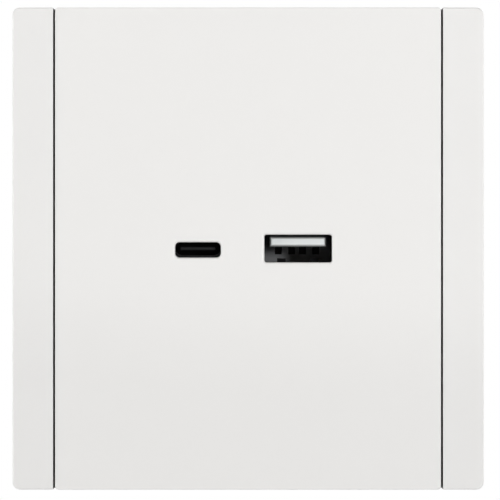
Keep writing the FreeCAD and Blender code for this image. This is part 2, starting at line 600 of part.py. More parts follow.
def shell_outline(inset):
    """The insert's outline, moved inwards by `inset` on every side."""
    cut_corner = f"housing_chamfer - ({inset}) * (2 - sqrt(2))"
    return chamfered(f"housing_width - 2 * ({inset})", f"housing_height - 2 * ({inset})", cut_corner)


def front_housing():
    body = new_body("front_housing")
    rim = "-front_housing_depth"
    solid(body, rim, "0", shell_outline("0"))
    cut(body, rim, "-housing_face", shell_outline("housing_wall"))
    solid(body, "0", "nose_depth", centred("nose_width", "nose_height"))
    hollow = centred("nose_width - 2 * housing_wall", "nose_height - 2 * housing_wall")
    cut(body, "-housing_face", "nose_depth - housing_wall", hollow)
    port_a = centred("usb_a_width + 2 * part_play", "usb_a_height + 2 * part_play", "usb_a_x")
    port_c = slot("usb_c_x", "0", "usb_c_width + 2 * part_play", "usb_c_height + 2 * part_play")
    cut(body, "nose_depth - housing_wall", "nose_depth", port_a, port_c)
    solid(body, "-boss_depth", "-housing_face", *[disc(x, z, "boss_radius") for x, z in RING_SCREWS])
    solid(body, rim, "-housing_face", *[disc(x, z, "boss_radius") for x, z in CASE_SCREWS])
    solid(body, "port_board_front", "-housing_face", *[disc(x, z, "standoff_radius") for x, z in STANDOFFS])
    groove = [shell_outline("housing_wall - lip_thickness - lip_play"), shell_outline("housing_wall + lip_play")]
    cut(body, rim, f"{rim} + lip_height + lip_play", *groove)
    bite = "ring_thickness - ring_screw_length - screw_room"
    cut(body, bite, "0", *[disc(x, z, "ring_screw_radius + hole_play") for x, z in RING_SCREWS])
    bite = f"{rim} + case_screw_bite + screw_room"
    cut(body, rim, bite, *[disc(x, z, "case_screw_radius + hole_play") for x, z in CASE_SCREWS])
    bite = "port_board_back + board_screw_length + screw_room"
    cut(body, "port_board_front", bite, *[disc(x, z, "board_screw_radius + hole_play") for x, z in STANDOFFS])
    return body


def rear_housing():
    body = new_body("rear_housing")
    rim = "-front_housing_depth"
    floor = "housing_wall - housing_depth"
    seat = "case_screw_recess - housing_depth"
    solid(body, "-housing_depth", rim, shell_outline("0"))
    cut(body, floor, rim, shell_outline("housing_wall"))
    treat(body, "Fillet", "housing_round", lambda at, along, edge: near(at.y, "housing_depth"))
    lip = [shell_outline("housing_wall - lip_thickness"), shell_outline("housing_wall")]
    solid(body, rim, f"{rim} + lip_height", *lip)
    solid(body, floor, rim, *[disc(x, z, "boss_radius") for x, z in CASE_SCREWS])
    solid(body, floor, f"{seat} + foot_wall", *[disc(x, z, "case_screw_foot") for x, z in CASE_SCREWS])
    posts = [disc(x, "board_post_z", "board_post_radius") for x in ("-board_post_x", "board_post_x")]
    posts.append(disc("0", "board_foot_z", "board_post_radius"))
    solid(body, floor, "-main_board_back", *posts)
    width = "block_width / 2 + part_play"
    window = block(minus(width), width, "-block_bottom - part_play", "-block_top + part_play")
    cut(body, "-housing_depth", floor, window)
    cut(body, "-housing_depth", seat, *[disc(x, z, "case_screw_head + part_play") for x, z in CASE_SCREWS])
    cut(body, seat, rim, *[disc(x, z, "case_screw_radius + part_play") for x, z in CASE_SCREWS])
    return body


def cross(x, z):
    """Outline of a cross recess."""
    long = "cross_length / 2"
    thin = "cross_width / 2"
    turns = [(long, minus(thin)), (long, thin), (thin, thin), (thin, long), (minus(thin), long), (minus(thin), thin)]
    turns += [(f"-({a})", f"-({b})") for a, b in turns]
    return corners(*[(f"{x} + {a}", f"{z} + {b}") for a, b in turns])


def screw(label, place, seat, length, radius, head, pointing):
    """A screw with its head's underside at the height `seat`, pointing to the wall (-1) or the room (1)."""
    body = new_body(label)
    x, z = place
    top = f"{seat} - {pointing} * screw_head_height"
    bottom = f"{top} + {pointing} * cross_depth"
    tip = f"{seat} + {pointing} * ({length})"
    low, high = (tip, seat) if pointing < 0 else (seat, tip)
    solid(body, low, high, disc(x, z, radius))
    low, high = (seat, top) if pointing < 0 else (top, seat)
    solid(body, low, high, disc(x, z, head))
    low, high = (bottom, top) if pointing < 0 else (top, bottom)
    cut(body, low, high, cross(x, z))
    treat(body, "Chamfer", "screw_edge", lambda at, along, edge: near(at.y, f"-({tip})") or near(at.y, f"-({top})")
          and edge.Length > size("2 * pi * screw_head_height"))
    return body


def screws(label, places, *how):
    """Identical screws as one group of separate solids."""
    group = doc.addObject("Part::Compound", label)
    group.Label = label
    group.Links = [screw(f"{label}_{number}", place, *how) for number, place in enumerate(places, start=1)]
    return group


# Boards and the two receptacles

def port_board():
    body = new_body("port_board")
    solid(body, "port_board_back", "port_board_front", centred("port_board_width", "port_board_height"))
    holes = [disc(x, z, "board_screw_radius + part_play") for x, z in STANDOFFS]
    for offset in CONTACT_OFFSETS:
        holes.append(disc(f"usb_a_x {offset}", "usb_a_pin_z", "pin_hole_radius"))
    for x, z in shell_legs():
        holes.append(centred("leg_width + 2 * lip_play", "shell_sheet + 2 * lip_play", x, z))
    for step in LINK_STEPS:
        holes.append(link_square(step, "hole_play"))
    cut(body, "port_board_back", "port_board_front", *holes)
    return body


def main_board():
    body = new_body("main_board")
    half = "main_board_width / 2"
    top = "main_board_top"
    outline = [(half, "main_board_top - main_board_chamfer"), (f"{half} - main_board_chamfer", top)]
    outline += [(minus(x), z) for x, z in reversed(outline)]
    outline += [(minus(half), "-main_board_bottom"), (half, "-main_board_bottom")]
    solid(body, "-main_board_back", "main_board_front", corners(*outline))
    holes = [link_square(step, "hole_play") for step in LINK_STEPS]
    for sign in ("-", ""):
        low = "-busbar_rise - busbar_sheet - lip_play"
        wide = "busbar_strap / 2 + lip_play"
        middle = f"{sign}pole_spacing / 2"
        holes.append(block(f"{middle} - ({wide})", f"{middle} + {wide}", low, "lip_play - busbar_rise"))
    cut(body, "-main_board_back", "main_board_front", *holes)
    return body


CONTACT_OFFSETS = ("- usb_a_contact_outer", "- usb_a_contact_inner", "+ usb_a_contact_inner", "+ usb_a_contact_outer")
LINK_STEPS = (-1.5, -0.5, 0.5, 1.5)
STRIPS_IN_A_ROW = 12


def link_square(step, play):
    side = f"link_pin + 2 * {play}"
    return centred(side, side, "link_x", f"link_z + {step} * link_pitch")


def shell_legs():
    """Middle points of the legs in the long sides of both shells."""
    places = []
    for port, width, height in (("usb_a_x", "usb_a_width", "usb_a_height"), ("usb_c_x", "usb_c_width", "usb_c_height")):
        for side in ("-", "+"):
            for level in ("-", "+"):
                spread = f"{width} / 4"
                rise = f"({height} - shell_sheet) / 2"
                places.append((f"{port} {side} {spread}", f"0 {level} {rise}"))
    return places


def usb_a_shell():
    body = new_body("usb_a_shell")
    outside = centred("usb_a_width", "usb_a_height", "usb_a_x")
    inside = centred("usb_a_width - 2 * shell_sheet", "usb_a_height - 2 * shell_sheet", "usb_a_x")
    solid(body, "port_board_front", "port_front", outside)
    treat(body, "Fillet", "usb_a_corner", lambda at, along, edge: runs_through(along))
    cut(body, "port_board_front", "port_front", inside)
    treat(body, "Fillet", "usb_a_corner - shell_sheet", lambda at, along, edge: runs_through(along)
          and near(abs(at.z), "usb_a_height / 2 - shell_sheet") and near(abs(at.x - size("usb_a_x")), INSIDE_A))
    front = "port_front - usb_a_spring_start"
    back = f"{front} - usb_a_spring_length"
    floor = "-usb_a_height / 2"
    crest = f"{floor} + shell_sheet + usb_a_spring_rise"
    rear = f"-({back})"
    bend = f"-({back}) - usb_a_spring_length * 2 / 3"
    tip = f"-({front}) + shell_sheet"
    finger = [(rear, floor), (bend, f"{crest} - shell_sheet"), (tip, f"{floor} + lip_play")]
    finger += [(tip, f"{floor} + lip_play + shell_sheet"), (bend, crest), (rear, f"{floor} + shell_sheet")]
    for sign in ("-", "+"):
        x = f"usb_a_x {sign} usb_a_spring_x"
        cut(body, back, front, centred("usb_a_spring_width", "usb_a_height * 2", x))
        wide = "usb_a_spring_width - 2 * lip_play"
        upper = centred(wide, "shell_sheet", x, "(usb_a_height - shell_sheet) / 2")
        solid(body, back, f"{front} - shell_sheet", upper)
        solid(body, f"{x} - ({wide}) / 2", f"{x} + ({wide}) / 2", corners(*finger), role="YZ_Plane")
    legs = [centred("leg_width", "shell_sheet", x, z) for x, z in shell_legs()[:4]]
    solid(body, "port_board_front - leg_length", "port_board_front", *legs)
    return body


INSIDE_A = "usb_a_width / 2 - shell_sheet"


def usb_a_tongue(play):
    """Outline of the white tongue, wider by `play` on every side."""
    half = f"usb_a_tongue_width / 2 + {play}"
    low = f"usb_a_tongue_z - {play}"
    return block(f"usb_a_x - ({half})", f"usb_a_x + {half}", low, f"usb_a_tongue_z + usb_a_tongue_height + {play}")


def usb_a_insulator():
    body = new_body("usb_a_insulator")
    low = "usb_a_tongue_z"
    solid(body, "port_board_front", "tongue_front", usb_a_tongue("0"))
    treat(body, "Chamfer", "tongue_chamfer", lambda at, along, edge: near(at.y, "-(tongue_front)"))
    grooves = []
    for offset in CONTACT_OFFSETS:
        x = f"usb_a_x {offset}"
        wide = "usb_a_contact_width + lip_play"
        grooves.append(block(f"{x} - ({wide}) / 2", f"{x} + ({wide}) / 2", f"{low} - lip_play", f"{low} + usb_a_contact_sheet"))
    cut(body, "port_board_front", "tongue_front - 2 * tongue_chamfer", *grooves)
    return body


def usb_a_back_wall():
    """Black wall at the larger port's end that holds the tongue, with a pocket behind each contact."""
    body = new_body("usb_a_back_wall")
    width = "usb_a_width - 2 * (shell_sheet + lip_play / 2)"
    height = "usb_a_height - 2 * (shell_sheet + lip_play / 2)"
    solid(body, "port_board_front", "usb_a_base", centred(width, height, "usb_a_x"))
    cut(body, "port_board_front", "usb_a_base", usb_a_tongue("hole_play"))
    pockets = []
    for offset in CONTACT_OFFSETS:
        x = f"usb_a_x {offset}"
        wide = "usb_a_pocket_width"
        level = "usb_a_tongue_z"
        pockets.append(block(f"{x} - {wide} / 2", f"{x} + {wide} / 2", f"{level} - usb_a_pocket_height", level))
    cut(body, "port_board_front + shell_sheet", "usb_a_base", *pockets)
    return body


def usb_a_contact(label, offset):
    """A straight strip under the tongue, whose tail narrows to a pin in the port board."""
    body = new_body(label)
    x = f"usb_a_x {offset}"
    half = "usb_a_contact_width / 2"
    top = "usb_a_tongue_z + usb_a_contact_sheet"
    strip = block(f"{x} - {half}", f"{x} + {half}", "usb_a_tongue_z", top)
    solid(body, "port_board_front + hole_play", "tongue_front - 3 * tongue_chamfer", strip)
    pin = centred("usb_a_contact_width / 2", "usb_a_contact_sheet", x, "usb_a_pin_z")
    solid(body, "port_board_front - leg_length", "port_board_front + hole_play", pin)
    return body


def usb_c_shell():
    body = new_body("usb_c_shell")
    outside = slot("usb_c_x", "0", "usb_c_width", "usb_c_height")
    inside = slot("usb_c_x", "0", "usb_c_width - 2 * shell_sheet", "usb_c_height - 2 * shell_sheet")
    solid(body, "port_board_front", "port_front", outside, inside)
    legs = [centred("leg_width", "shell_sheet", x, z) for x, z in shell_legs()[4:]]
    solid(body, "port_board_front - leg_length", "port_board_front", *legs)
    return body


def usb_c_insulator():
    body = new_body("usb_c_insulator")
    width = "usb_c_width - 2 * shell_sheet - lip_play"
    height = "usb_c_height - 2 * shell_sheet - lip_play"
    solid(body, "port_board_front", "usb_c_base", slot("usb_c_x", "0", width, height))
    solid(body, "usb_c_base", "tongue_front", centred("usb_c_tongue_width", "usb_c_tongue_height", "usb_c_x"))
    collar = centred("usb_c_tongue_width", "usb_c_tongue_height * 2", "usb_c_x")
    solid(body, "usb_c_base", "usb_c_base + usb_c_tongue_height", collar)
    treat(body, "Chamfer", "usb_c_tongue_chamfer", lambda at, along, edge: near(at.y, "-(tongue_front)"))
    grooves = []
    for place in range(STRIPS_IN_A_ROW):
        x = usb_c_contact_x(place)
        for level in ("usb_c_tongue_height - usb_c_contact_sheet", "usb_c_contact_sheet - usb_c_tongue_height"):
            grooves.append(centred("usb_c_contact_width", "usb_c_contact_sheet", x, f"({level}) / 2"))
    front = "tongue_front - usb_c_contact_setback"
    cut(body, f"{front} - usb_c_contact_length", front, *grooves)
    return body


def usb_c_contact_x(place):
    """Middle of one of the contacts, counted from the left."""
    return f"usb_c_x + ({place} - {STRIPS_IN_A_ROW - 1} / 2) * usb_c_contact_pitch"


def usb_c_contacts():
    """Both rows of strips, let into the tongue's upper and lower faces."""
    strips = []
    for row, level in (("upper", "usb_c_tongue_height / 2 - usb_c_contact_sheet"), ("lower", "-usb_c_tongue_height / 2")):
        for place in range(STRIPS_IN_A_ROW):
            strip = doc.addObject("Part::Box", f"strip_{row}_{place + 1}")
            strip.setExpression("Length", bound("usb_c_contact_width"))
            strip.setExpression("Width", bound("usb_c_contact_length"))
            strip.setExpression("Height", bound("usb_c_contact_sheet"))
            strip.setExpression("Placement.Base.x", bound(f"{usb_c_contact_x(place)} - usb_c_contact_width / 2"))
            strip.setExpression("Placement.Base.y", bound("usb_c_contact_setback - (tongue_front)"))
            strip.setExpression("Placement.Base.z", bound(level))
            strips.append(strip)
    rows = doc.addObject("Part::Compound", "usb_c_contacts")
    rows.Label = "usb_c_contacts"
    rows.Links = strips
    return rows


# Components of the power supply

def transformer_core():
    body = new_body("transformer_core")
    x = "transformer_x"
    z = "transformer_z"
    window = "core_width / 2 - core_leg - core_middle_leg / 2"
    low = "core_level - core_thickness / 2"
    high = "core_level + core_thickness / 2"
    solid(body, low, high, centred("core_width", "core_height", x, z))
    for sign in ("-", "+"):
        middle = f"{x} {sign} (core_middle_leg + {window}) / 2"
        cut(body, low, high, centred(window, "core_height - 2 * core_yoke", middle, z))
    treat(body, "Fillet", "can_round", lambda at, along, edge: runs_through(along)
          and near(abs(at.z - size(z)), "core_height / 2"))
    return body


def bobbin_tube(play):
    """Outline round the core's middle leg, seen from above."""
    width = f"core_middle_leg + 2 * ({play})"
    depth = f"core_thickness + 2 * ({play})"
    return centred(width, depth, "transformer_x", "-core_level")


def transformer_bobbin():
    body = new_body("transformer_bobbin")
    half = "core_height / 2 - core_yoke - core_play"
    flange_width = "core_width - 2 * core_leg - 2 * core_play"
    flange = centred(flange_width, "bobbin_depth", "transformer_x", "-core_level")
    hole = bobbin_tube("core_play")
    tube = bobbin_tube("core_play + bobbin_wall")
    low = f"transformer_z - ({half})"
    high = f"transformer_z + {half}"
    solid(body, low, high, tube, role="XY_Plane")
    solid(body, low, f"{low} + bobbin_wall", flange, role="XY_Plane")
    solid(body, f"{high} - bobbin_wall", high, flange, role="XY_Plane")
    cut(body, low, high, hole, role="XY_Plane")
    return body


def transformer_winding():
    body = new_body("transformer_winding")
    half = "core_height / 2 - core_yoke - core_play - bobbin_wall"
    width = "core_width - 2 * core_leg - 2 * core_play - 2 * winding_margin"
    outside = centred(width, "bobbin_depth - 2 * winding_margin", "transformer_x", "-core_level")
    low = f"transformer_z - ({half})"
    high = f"transformer_z + {half}"
    solid(body, low, high, outside, role="XY_Plane")
    treat(body, "Fillet", "bobbin_wall * 2", lambda at, along, edge: abs(along.x) + abs(along.y) < NEAR)
    cut(body, low, high, bobbin_tube("core_play + bobbin_wall"), role="XY_Plane")
    return body


def capacitor(label, x, z, radius, foot, length, pointing):
    """A can that stands on a board and points to the room (1) or into the wall (-1)."""
    body = new_body(label)
    end = f"{foot} + {pointing} * {length}"
    low, high = (end, foot) if pointing < 0 else (foot, end)
    solid(body, low, high, disc(x, z, radius))
    lower = f"{foot} + {pointing} * 3 * can_groove"
    upper = f"{foot} + {pointing} * 5 * can_groove"
    low, high = (upper, lower) if pointing < 0 else (lower, upper)
    cut(body, low, high, disc(x, z, f"{radius} * 2"), disc(x, z, f"{radius} - can_groove"))
    treat(body, "Fillet", "can_round", lambda at, along, edge: near(at.y, f"-({end})"))
    return body


def film_capacitor():
    body = new_body("film_capacitor")
    outline = centred("film_cap_width", "film_cap_thickness", "film_cap_x", "film_cap_z")
    solid(body, "main_board_front", "main_board_front + film_cap_height", outline)
    treat(body, "Fillet", "can_round", lambda at, along, edge: at.y < size("-main_board_front"))
    return body


def mains_choke():
    body = new_body("mains_choke")
    top = "main_board_front + choke_height"
    solid(body, "main_board_front", top, disc("choke_x", "choke_z", "choke_neck"))
    rim = disc("choke_x", "choke_z", "choke_radius")
    solid(body, "main_board_front", "main_board_front + choke_flange", rim)
    solid(body, f"{top} - choke_flange", top, rim)
    return body


def fuse_resistor():
    body = new_body("fuse_resistor")
    solid(body, "main_board_front", "main_board_front + fuse_length", disc("fuse_x", "fuse_z", "fuse_radius"))
    treat(body, "Fillet", "can_round", lambda at, along, edge: near(at.y, "-main_board_front - fuse_length"))
    return body


def flat_component(label, x, z, length, width, foot, height, pointing):
    """A moulded body with two leads on each side, all on one board face."""
    body = new_body(label)
    end = f"{foot} + {pointing} * {height}"
    low, high = (end, foot) if pointing < 0 else (foot, end)
    solid(body, low, high, centred(length, width, x, z))
    treat(body, "Chamfer", "lead_thickness", lambda at, along, edge: near(at.y, f"-({end})"))
    leads = [centred("lead_reach", f"{width} + 2 * lead_reach", f"{x} {side} {length} / 4", z) for side in ("-", "+")]
    end = f"{foot} + {pointing} * lead_thickness"
    low, high = (end, foot) if pointing < 0 else (foot, end)
    solid(body, low, high, *leads)
    return body


def link_carrier():
    body = new_body("link_carrier")
    outline = centred("link_carrier_width", "4 * link_pitch", "link_x", "link_z")
    solid(body, "main_board_front", "main_board_front + link_carrier_width", outline)
    pins = [link_square(step, "0") for step in LINK_STEPS]
    cut(body, "main_board_front", "main_board_front + link_carrier_width", *pins)
    return body


def link_pins():
    pins = []
    for number, step in enumerate(LINK_STEPS, start=1):
        pin = doc.addObject("Part::Box", f"link_pin_{number}")
        pin.setExpression("Length", bound("link_pin"))
        pin.setExpression("Height", bound("link_pin"))
        pin.setExpression("Width", bound("main_board_back + port_board_front + 2 * link_proud"))
        pin.setExpression("Placement.Base.x", bound("link_x - link_pin / 2"))
        pin.setExpression("Placement.Base.y", bound("-port_board_front - link_proud"))
        pin.setExpression("Placement.Base.z", bound(f"link_z + {step} * link_pitch - link_pin / 2"))
        pins.append(pin)
    row = doc.addObject("Part::Compound", "link_pins")
    row.Label = "link_pins"
    row.Links = pins
    return row


# Mains terminals at the back

POLES = {"line": "-pole_spacing / 2", "neutral": "pole_spacing / 2"}


def terminal_block():
    body = new_body("terminal_block")
    half = "block_width / 2"
    back = "-housing_depth"
    floor = "housing_wall - housing_depth"
    solid(body, back, "block_front", block(minus(half), half, "-block_bottom", "-block_top"))
    wide = f"{half} + block_flange"
    flange = block(minus(wide), wide, "-block_bottom - block_flange", "-block_top + block_flange")
    solid(body, floor, f"{floor} + flange_depth", flange)
    cavities = []
    slots = []
    holes = []
    for pole in POLES.values():
        cavities.append(block(f"{pole} - cavity_half", f"{pole} + cavity_half", "cavity_floor", "cavity_roof"))
        play = "button_width / 2 + part_play"
        slots.append(block(f"{pole} - ({play})", f"{pole} + {play}", "button_low - part_play", "button_top + part_play"))
        holes += [disc(f"{pole} {side} wire_offset", "-wire_z", "wire_radius") for side in ("-", "+")]
    cut(body, "cavity_back", "block_front", *cavities)
    cut(body, back, "cavity_back", *slots)
    cut(body, back, "cavity_back", *holes)
    treat(body, "Chamfer", "wire_funnel", lambda at, along, edge: near(at.y, "housing_depth")
          and near(edge.Length, "2 * pi * wire_radius"))
    return body


def busbar(label, pole):
    """Contact plate under the wires and a strap that rises in front of the block to the main board."""
    body = new_body(label)
    front = "block_front + busbar_sheet"
    sides = (f"{pole} - cavity_half + part_play", f"{pole} + cavity_half - part_play")
    strap = (f"{pole} - busbar_strap / 2", f"{pole} + busbar_strap / 2")
    solid(body, "cavity_back + part_play", front, block(*sides, "cavity_floor", "cavity_floor + busbar_sheet"))
    solid(body, "block_front", front, block(*strap, "cavity_floor", "-busbar_rise"))
    top = block(*strap, "-busbar_rise - busbar_sheet", "-busbar_rise")
    solid(body, "-main_board_back - link_proud", front, top)
    treat(body, "Fillet", "busbar_sheet / 2", lambda at, along, edge: near(at.y, f"-({front})")
          and near(at.z, "-busbar_rise") and abs(along.y) + abs(along.z) < NEAR)
    return body


def clamp_spring(label, pole, side):
    """A strip held under the cavity's roof, whose arm leans forwards down to the bus bar."""
    body = new_body(label)
    x = f"{pole} {side} wire_offset"
    tip = "cavity_floor + busbar_sheet + lip_play"
    drop = f"cavity_roof - ({tip})"
    elbow = f"spring_root - spring_sheet - spring_slope * spring_sheet / ({drop})"
    anchor = "spring_root - spring_reach"
    outline = [(anchor, "cavity_roof"), ("spring_root", "cavity_roof"), ("spring_root - spring_slope", tip)]
    outline += [("spring_root - spring_slope - spring_sheet", tip), (elbow, "cavity_roof - spring_sheet")]
    outline += [(anchor, "cavity_roof - spring_sheet")]
    solid(body, f"{x} - spring_width / 2", f"{x} + spring_width / 2", corners(*outline), role="YZ_Plane")
    return body


def release_button(label, pole):
    body = new_body(label)
    seat = "cavity_back + wing_seat"
    back = "-housing_depth - button_proud"
    stem = block(f"{pole} - button_width / 2", f"{pole} + button_width / 2", "button_low", "button_top")
    solid(body, back, f"{seat} + wing_thickness", stem)
    reach = "cavity_half - wing_play"
    wings = block(f"{pole} - ({reach})", f"{pole} + {reach}", "button_top - wing_height", "button_top")
    solid(body, seat, f"{seat} + wing_thickness", wings)
    treat(body, "Fillet", "button_round", lambda at, along, edge: near(at.y, f"-({back})"))
    mark = centred("button_width - wing_thickness", "busbar_sheet", pole, "(button_low + button_top) / 2")
    cut(body, back, f"{back} + button_round", mark)
    return body


pieces = [cover_frame(), centre_plate(), support_ring(), front_housing(), rear_housing()]
sizes = ("ring_thickness", "ring_screw_length", "ring_screw_radius", "ring_screw_head")
pieces.append(screws("ring_screws", RING_SCREWS, *sizes, -1))
long = "housing_depth - case_screw_recess - front_housing_depth + case_screw_bite"
sizes = ("case_screw_recess - housing_depth", long, "case_screw_radius", "case_screw_head")
pieces.append(screws("case_screws", CASE_SCREWS, *sizes, 1))
sizes = ("port_board_back", "board_screw_length", "board_screw_radius", "board_screw_head")
pieces.append(screws("board_screws", STANDOFFS, *sizes, 1))
pieces += [port_board(), main_board(), usb_a_shell(), usb_a_insulator(), usb_a_back_wall()]
for number, offset in enumerate(CONTACT_OFFSETS, start=1):
    pieces.append(usb_a_contact(f"usb_a_contact_{number}", offset))
pieces += [usb_c_shell(), usb_c_insulator(), usb_c_contacts()]
pieces += [transformer_core(), transformer_bobbin(), transformer_winding()]
can = ("primary_can_z", "primary_can_radius", "main_board_front", "primary_can_length", 1)
pieces.append(capacitor("primary_capacitor_1", "-primary_can_x", *can))
pieces.append(capacitor("primary_capacitor_2", "primary_can_x", *can))
can = ("secondary_can_z", "secondary_can_radius", "port_board_back", "secondary_can_length", -1)
pieces.append(capacitor("secondary_capacitor", "secondary_can_x", *can))
pieces += [film_capacitor(), mains_choke(), fuse_resistor()]
bridge = ("bridge_x", "bridge_z", "bridge_size", "bridge_size", "main_board_front", "bridge_height", 1)
pieces.append(flat_component("bridge_rectifier", *bridge))
for number, side in enumerate(("-", ""), start=1):
    chip = (f"{side}chip_x", "chip_z", "chip_length", "chip_width", "port_board_back", "chip_height", -1)
    pieces.append(flat_component(f"controller_chip_{number}", *chip))
pieces += [link_carrier(), link_pins(), terminal_block()]
for name, pole in POLES.items():
    pieces.append(busbar(f"{name}_busbar", pole))
springs = [(pole, side) for pole in POLES.values() for side in ("-", "+")]
for number, (pole, side) in enumerate(springs, start=1):
    pieces.append(clamp_spring(f"clamp_spring_{number}", pole, side))
for name, pole in POLES.items():
    pieces.append(release_button(f"{name}_release", pole))

doc.recompute()

# Every object is checked before anything is written
for item in doc.Objects:
    for problem in ("Invalid", "Error"):
        if problem in item.State:
            raise RuntimeError(f"{item.Label} has the state {item.State}")
for piece in pieces:
    if piece.Shape.isNull() or not piece.Shape.isValid():
        raise RuntimeError(f"{piece.Label} has no valid shape")

os.makedirs("parts", exist_ok=True)
for piece in pieces:
    piece.Shape.exportStep(f"parts/{piece.Label}.step")
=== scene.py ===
# %% [markdown]
# # A flush-mounted USB wall socket
#
# The socket is a white plastic cover frame with two side strips, a tall centre plate that lies flush between
# them, and a power supply behind it that disappears into a round wall box. Seen from the room it is almost
# nothing: three calm white planes, two hair-thin dark gaps and two ports. So the looks depend on small
# things: how the edges turn, how the gaps hold their shadow, and what can be seen down inside the ports.
#
# The solids come from a CAD model as a fixed frame. This file gives every solid its finish and adds the small
# pieces that CAD leaves out, such as screw threads, wire turns, solder and the terminal marks.

# %% Load the CAD frame and note its size
import json
import math

import bmesh
import bpy
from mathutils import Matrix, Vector


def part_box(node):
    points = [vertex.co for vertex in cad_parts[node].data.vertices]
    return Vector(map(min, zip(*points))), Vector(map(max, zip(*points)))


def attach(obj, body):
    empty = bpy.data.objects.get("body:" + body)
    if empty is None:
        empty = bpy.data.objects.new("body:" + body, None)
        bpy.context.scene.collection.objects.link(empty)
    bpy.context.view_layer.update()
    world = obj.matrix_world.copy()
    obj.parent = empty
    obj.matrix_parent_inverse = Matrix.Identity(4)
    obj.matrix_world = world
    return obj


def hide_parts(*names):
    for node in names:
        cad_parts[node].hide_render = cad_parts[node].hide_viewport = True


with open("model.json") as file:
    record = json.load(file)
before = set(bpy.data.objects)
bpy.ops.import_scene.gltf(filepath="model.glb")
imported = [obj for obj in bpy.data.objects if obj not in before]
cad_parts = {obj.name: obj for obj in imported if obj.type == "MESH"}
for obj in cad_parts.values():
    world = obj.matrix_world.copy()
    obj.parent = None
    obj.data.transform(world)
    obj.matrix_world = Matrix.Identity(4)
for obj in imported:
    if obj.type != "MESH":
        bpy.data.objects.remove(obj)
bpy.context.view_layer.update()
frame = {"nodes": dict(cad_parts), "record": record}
nodes = frame["nodes"]
MM = 0.001

# %% [markdown]
# ## The camera
#
# The cover is seen exactly from the front, with no side showing anywhere. Two things tell how near the camera
# stood: the pockets deep in the larger port lie a little closer together than they should, and each gap shows
# a sliver of its outer side. Both fit about half a metre. The lens is worked out from the width of the view
# at the cover's front, which is the picture's width divided by the pixels for each millimetre of the cover.

# %% A camera straight in front of the cover
PICTURE_WIDTH = 500
PIXELS_PER_MM = 5.48
COVER_MIDDLE = (248.05, 248.55)
CAMERA_DISTANCE = 0.55
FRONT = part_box("cover_frame")[0][1]

view_width = PICTURE_WIDTH / PIXELS_PER_MM * MM
offset_x = (PICTURE_WIDTH / 2 - COVER_MIDDLE[0]) / PIXELS_PER_MM * MM
offset_z = (COVER_MIDDLE[1] - PICTURE_WIDTH / 2) / PIXELS_PER_MM * MM

camera_data = bpy.data.cameras.new("camera")
camera_data.sensor_width = 36.0
camera_data.lens = camera_data.sensor_width * CAMERA_DISTANCE / view_width
camera_data.clip_end = 20.0
camera = bpy.data.objects.new("camera", camera_data)
camera.location = (offset_x, FRONT - CAMERA_DISTANCE, offset_z)
camera.rotation_euler = (math.pi / 2, 0.0, 0.0)
bpy.context.scene.collection.objects.link(camera)
bpy.context.scene.camera = camera
print("lens, mm:", round(camera_data.lens, 1))

# %% [markdown]
# ## Helpers for node trees
#
# Light, finishes and repeated shapes are all worked out by trees of nodes. A few steps come up in every tree:
# making a node and filling its inputs, a piece of arithmetic, moving a value from one range to another, and a
# colour between two others. Each is a short function here, so that the trees below read almost like formulas.

# %% Nodes, arithmetic, ranges and mixed colours
def join(tree, source, target):
    tree.links.new(source, target)


def fill(tree, socket, end):
    """Links an output to a socket, or sets anything else as its value."""
    if hasattr(end, "is_linked"):
        join(tree, end, socket)
    else:
        socket.default_value = end


def feed(tree, node, **ends):
    """Fills a node's inputs by their names."""
    for name, end in ends.items():
        fill(tree, node.inputs[name.replace("_", " ")], end)
    return node


def made(tree, kind, **ends):
    """A new node with its inputs filled, as its first output."""
    return feed(tree, tree.nodes.new(kind), **ends).outputs[0]


def mathematics(tree, operation, first, second=0.0):
    node = tree.nodes.new("ShaderNodeMath")
    node.operation = operation
    fill(tree, node.inputs[0], first)
    fill(tree, node.inputs[1], second)
    return node.outputs[0]


def ramp(tree, value, start, end):
    """A share that is 0 at the start, 1 at the end and rises evenly between them."""
    return made(tree, "ShaderNodeMapRange", Value=value, From_Min=start, From_Max=end)


def scaled(tree, share, low, high):
    """Maps a share from 0..1 to low..high."""
    return made(tree, "ShaderNodeMapRange", Value=share, To_Min=low, To_Max=high)


def mixed(tree, share, first, second):
    """A colour that goes from the first to the second with a share."""
    node = tree.nodes.new("ShaderNodeMix")
    node.data_type = "RGBA"
    feed(tree, node, Factor=share, A=first, B=second)
    return node.outputs["Result"]


def on_the_piece(tree):
    """The place on a piece, which holds still when the piece moves."""
    return tree.nodes.new("ShaderNodeTexCoord").outputs["Object"]


def on_each_axis(tree):
    """The place on a piece as three outputs: X, Y and Z."""
    return made(tree, "ShaderNodeSeparateXYZ", Vector=on_the_piece(tree)).node.outputs


# %% [markdown]
# ## The room round it
#
# A white product on a white ground has to be told from it by its shading alone. The ground is therefore made
# white only for what the camera sees directly and for what shines or shows through, while the light that
# reaches the plastic stays at a plain level. A pale floor lies below, out of the front view, so that other
# views have something to stand over.

# %% Background
scene = bpy.context.scene
scene.view_settings.view_transform = "Standard"

WORLD_LEVEL = 0.22
WHITE = (1.0, 1.0, 1.0, 1.0)


def seen_directly(tree):
    """A mask that is 1 for rays from the camera, from gloss and through glass."""
    path = tree.nodes.new("ShaderNodeLightPath").outputs
    seen_or_glossy = mathematics(tree, "MAXIMUM", path["Is Camera Ray"], path["Is Glossy Ray"])
    return mathematics(tree, "MAXIMUM", seen_or_glossy, path["Is Transmission Ray"])


world = bpy.data.worlds.new("room")
world.use_nodes = True
room = world.node_tree
room.nodes.clear()
strength = scaled(room, seen_directly(room), WORLD_LEVEL, 1.0)
background = made(room, "ShaderNodeBackground", Color=WHITE, Strength=strength)
join(room, background, room.nodes.new("ShaderNodeOutputWorld").inputs["Surface"])
scene.world = world
print("world nodes:", len(room.nodes))

